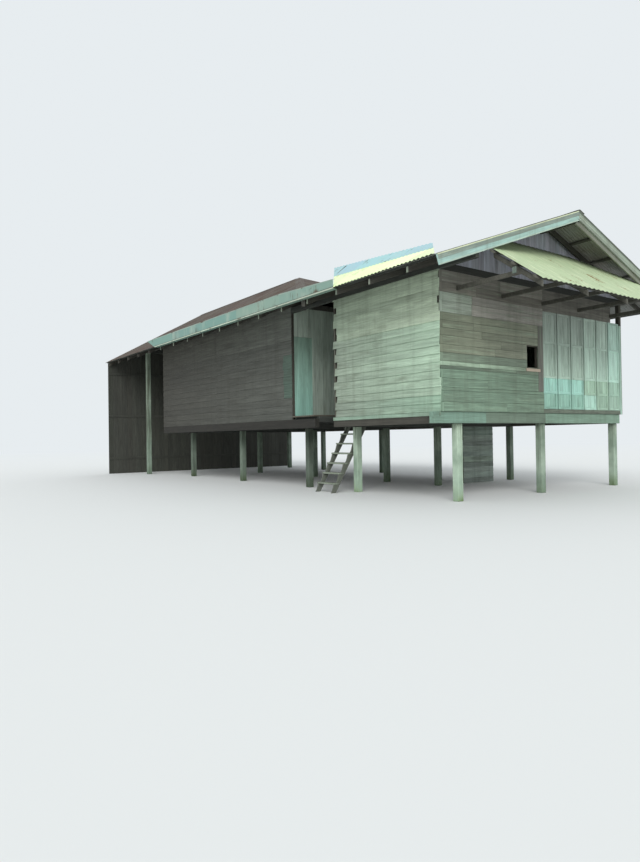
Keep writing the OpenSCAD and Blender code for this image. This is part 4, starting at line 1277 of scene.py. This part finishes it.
place_piece("gutter_folded", bm, ZINC_SHEET, "sheet_zinc", "gutter", arris=0.0015)


# Canopy: wide-rolled cream sheets on a light frame that leans out from the front wall, cut
# back at its sides where it meets the eaves, with a jagged lower edge.
CANOPY_CREAM = (190, 205, 166)
CANOPY_PITCH = 0.16
CANOPY_DEPTH = 0.018
CANOPY_ROWS = 20
CANOPY_TILT = math.radians(36)
CANOPY_SHEETS = 7
CANOPY_TOP = 2.2
CANOPY_SIDE = 0.98
FRONT_FACE = -0.2
CANOPY_SHADE_FROM = 0.8
FRAME_TONES = ((98, 97, 89), FRAME_BROWN)
BLOCK_Y = (-1.78, -1.70)
BLOCK_Z = (4.45, 4.57)
BLOCK_GREY = (108, 122, 114)
low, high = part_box("canopy_sheet")
bm, rng = begin(91)
up = Vector((0, math.cos(CANOPY_TILT), math.sin(CANOPY_TILT)))
normal = Vector((0, -math.sin(CANOPY_TILT), math.cos(CANOPY_TILT)))
canopy_len = (FRONT_FACE - low.y) / math.cos(CANOPY_TILT)
step = (high.x - low.x) / CANOPY_SHEETS
corner = low + up * canopy_len + normal * SHEET_T / 2
made = lay_sheet(bm, corner, Vector((1, 0, 0)), -up, high.x - low.x, canopy_len - 0.016, CANOPY_CREAM,
                 rng, CANOPY_PITCH, CANOPY_DEPTH, CANOPY_ROWS)
paint = corner_layers(bm)[0]
shades = [rng.uniform(0.95, 1.03) for i in range(CANOPY_SHEETS)]
jags = [rng.uniform(0, 0.022) for i in range(CANOPY_SHEETS)]
for v in made:
    own = min(CANOPY_SHEETS - 1, int((v.co.x - low.x) / step))
    climb = (v.co.z - low.z) / (canopy_len * math.sin(CANOPY_TILT))
    # The top of the canopy is painted darker toward the gable: painted shade under the roof's edge.
    top_shade = min(1, max(0, (climb - CANOPY_SHADE_FROM) / (1 - CANOPY_SHADE_FROM))) ** 1.5
    v[paint] = [c * shades[own] * (1 - 0.8 * top_shade) for c in v[paint][:3]] + [1.0]
    if climb < 0.02:
        v.co += up * jags[own]
for turn in (-1, 1):
    corner_x = ridge_x + turn * (high.x - low.x) / 2
    top_x = ridge_x + turn * CANOPY_TOP / 2
    trim(bm, (corner_x, FRONT_FACE - CANOPY_SIDE, 0),
         (turn * CANOPY_SIDE, abs(corner_x - top_x), 0))
place_sheets("canopy_rolled", bm, CREAM_SHEET, "sheet_cream", "canopy_sheet")
dressed_nodes("canopy_frame_sawn", DARK_WOOD, "timber_dark", FRAME_TONES, 93, "canopy_frame")
bm = timber_mesh()
board(bm, (low.x - 0.045, BLOCK_Y[0], BLOCK_Z[0]), (low.x - 0.015, BLOCK_Y[1], BLOCK_Z[1]),
      varied(BLOCK_GREY, rng), rng)
place_piece("canopy_side_block", bm, PALE_BEAM_WOOD, "timber_dark", arris=0.004)


# Studio: a pale floor that runs on into an even pale backdrop, a soft sky and one soft sun
# from the left and front, low enough to reach the wall under the canopy.
BACKDROP = (0.80, 0.845, 0.87)
FLOOR_FADE = (24.0, 80.0)
FLOOR_PALE = (0.78, 0.795, 0.775)
SUN_POWER = 1.9
SUN_SOFTNESS = 0.6
SUN_DOWN = (0.565, 0.666, -0.488)
SKY_BLUE = (0.92, 0.96, 1.0)
SKY_POWER = 0.8
floor = bpy.data.objects.new("pale_floor", bpy.data.meshes.new("pale_floor"))
bm = bmesh.new()
bmesh.ops.create_grid(bm, x_segments=1, y_segments=1, size=400)
bm.to_mesh(floor.data)
bm.free()
floor_finish, tree, shader = new_finish("pale_ground")
shader.inputs["Base Color"].default_value = (*FLOOR_PALE, 1)
shader.inputs["Roughness"].default_value = 0.95
far_out = wire(tree, "VectorMath", {0: object_place(tree)}, operation="LENGTH").outputs["Value"]
seen_far = product(tree, rescale(tree, far_out, *FLOOR_FADE),
                   wire(tree, "LightPath", {}).outputs["Is Camera Ray"])
haze = wire(tree, "Emission", {"Color": (*BACKDROP, 1), "Strength": 1.0})
ground = wire(tree, "MixShader", {0: seen_far, 1: shader.outputs[0], 2: haze.outputs[0]})
tree.links.new(ground.outputs[0], tree.nodes["Material Output"].inputs["Surface"])
floor.data.materials.append(floor_finish)
bpy.context.scene.collection.objects.link(floor)
floor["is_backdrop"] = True
sun_data = bpy.data.lights.new("soft_sun", "SUN")
sun_data.energy = SUN_POWER
sun_data.angle = SUN_SOFTNESS
sun = bpy.data.objects.new("soft_sun", sun_data)
sun.rotation_euler = Vector(SUN_DOWN).to_track_quat("-Z", "Y").to_euler()
bpy.context.scene.collection.objects.link(sun)
world = bpy.data.worlds.new("pale_sky")
world.use_nodes = True
tree = world.node_tree
sky = tree.nodes["Background"]
sky.inputs["Color"].default_value = (*SKY_BLUE, 1)
sky.inputs["Strength"].default_value = SKY_POWER
seen = wire(tree, "Background", {"Color": (*BACKDROP, 1), "Strength": 1.0})
to_camera = wire(tree, "LightPath", {}).outputs["Is Camera Ray"]
both = wire(tree, "MixShader", {0: to_camera, 1: sky.outputs[0], 2: seen.outputs[0]})
tree.links.new(both.outputs[0], tree.nodes["World Output"].inputs["Surface"])
bpy.context.scene.world = world
bpy.context.scene.view_settings.view_transform = "Standard"

low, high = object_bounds()
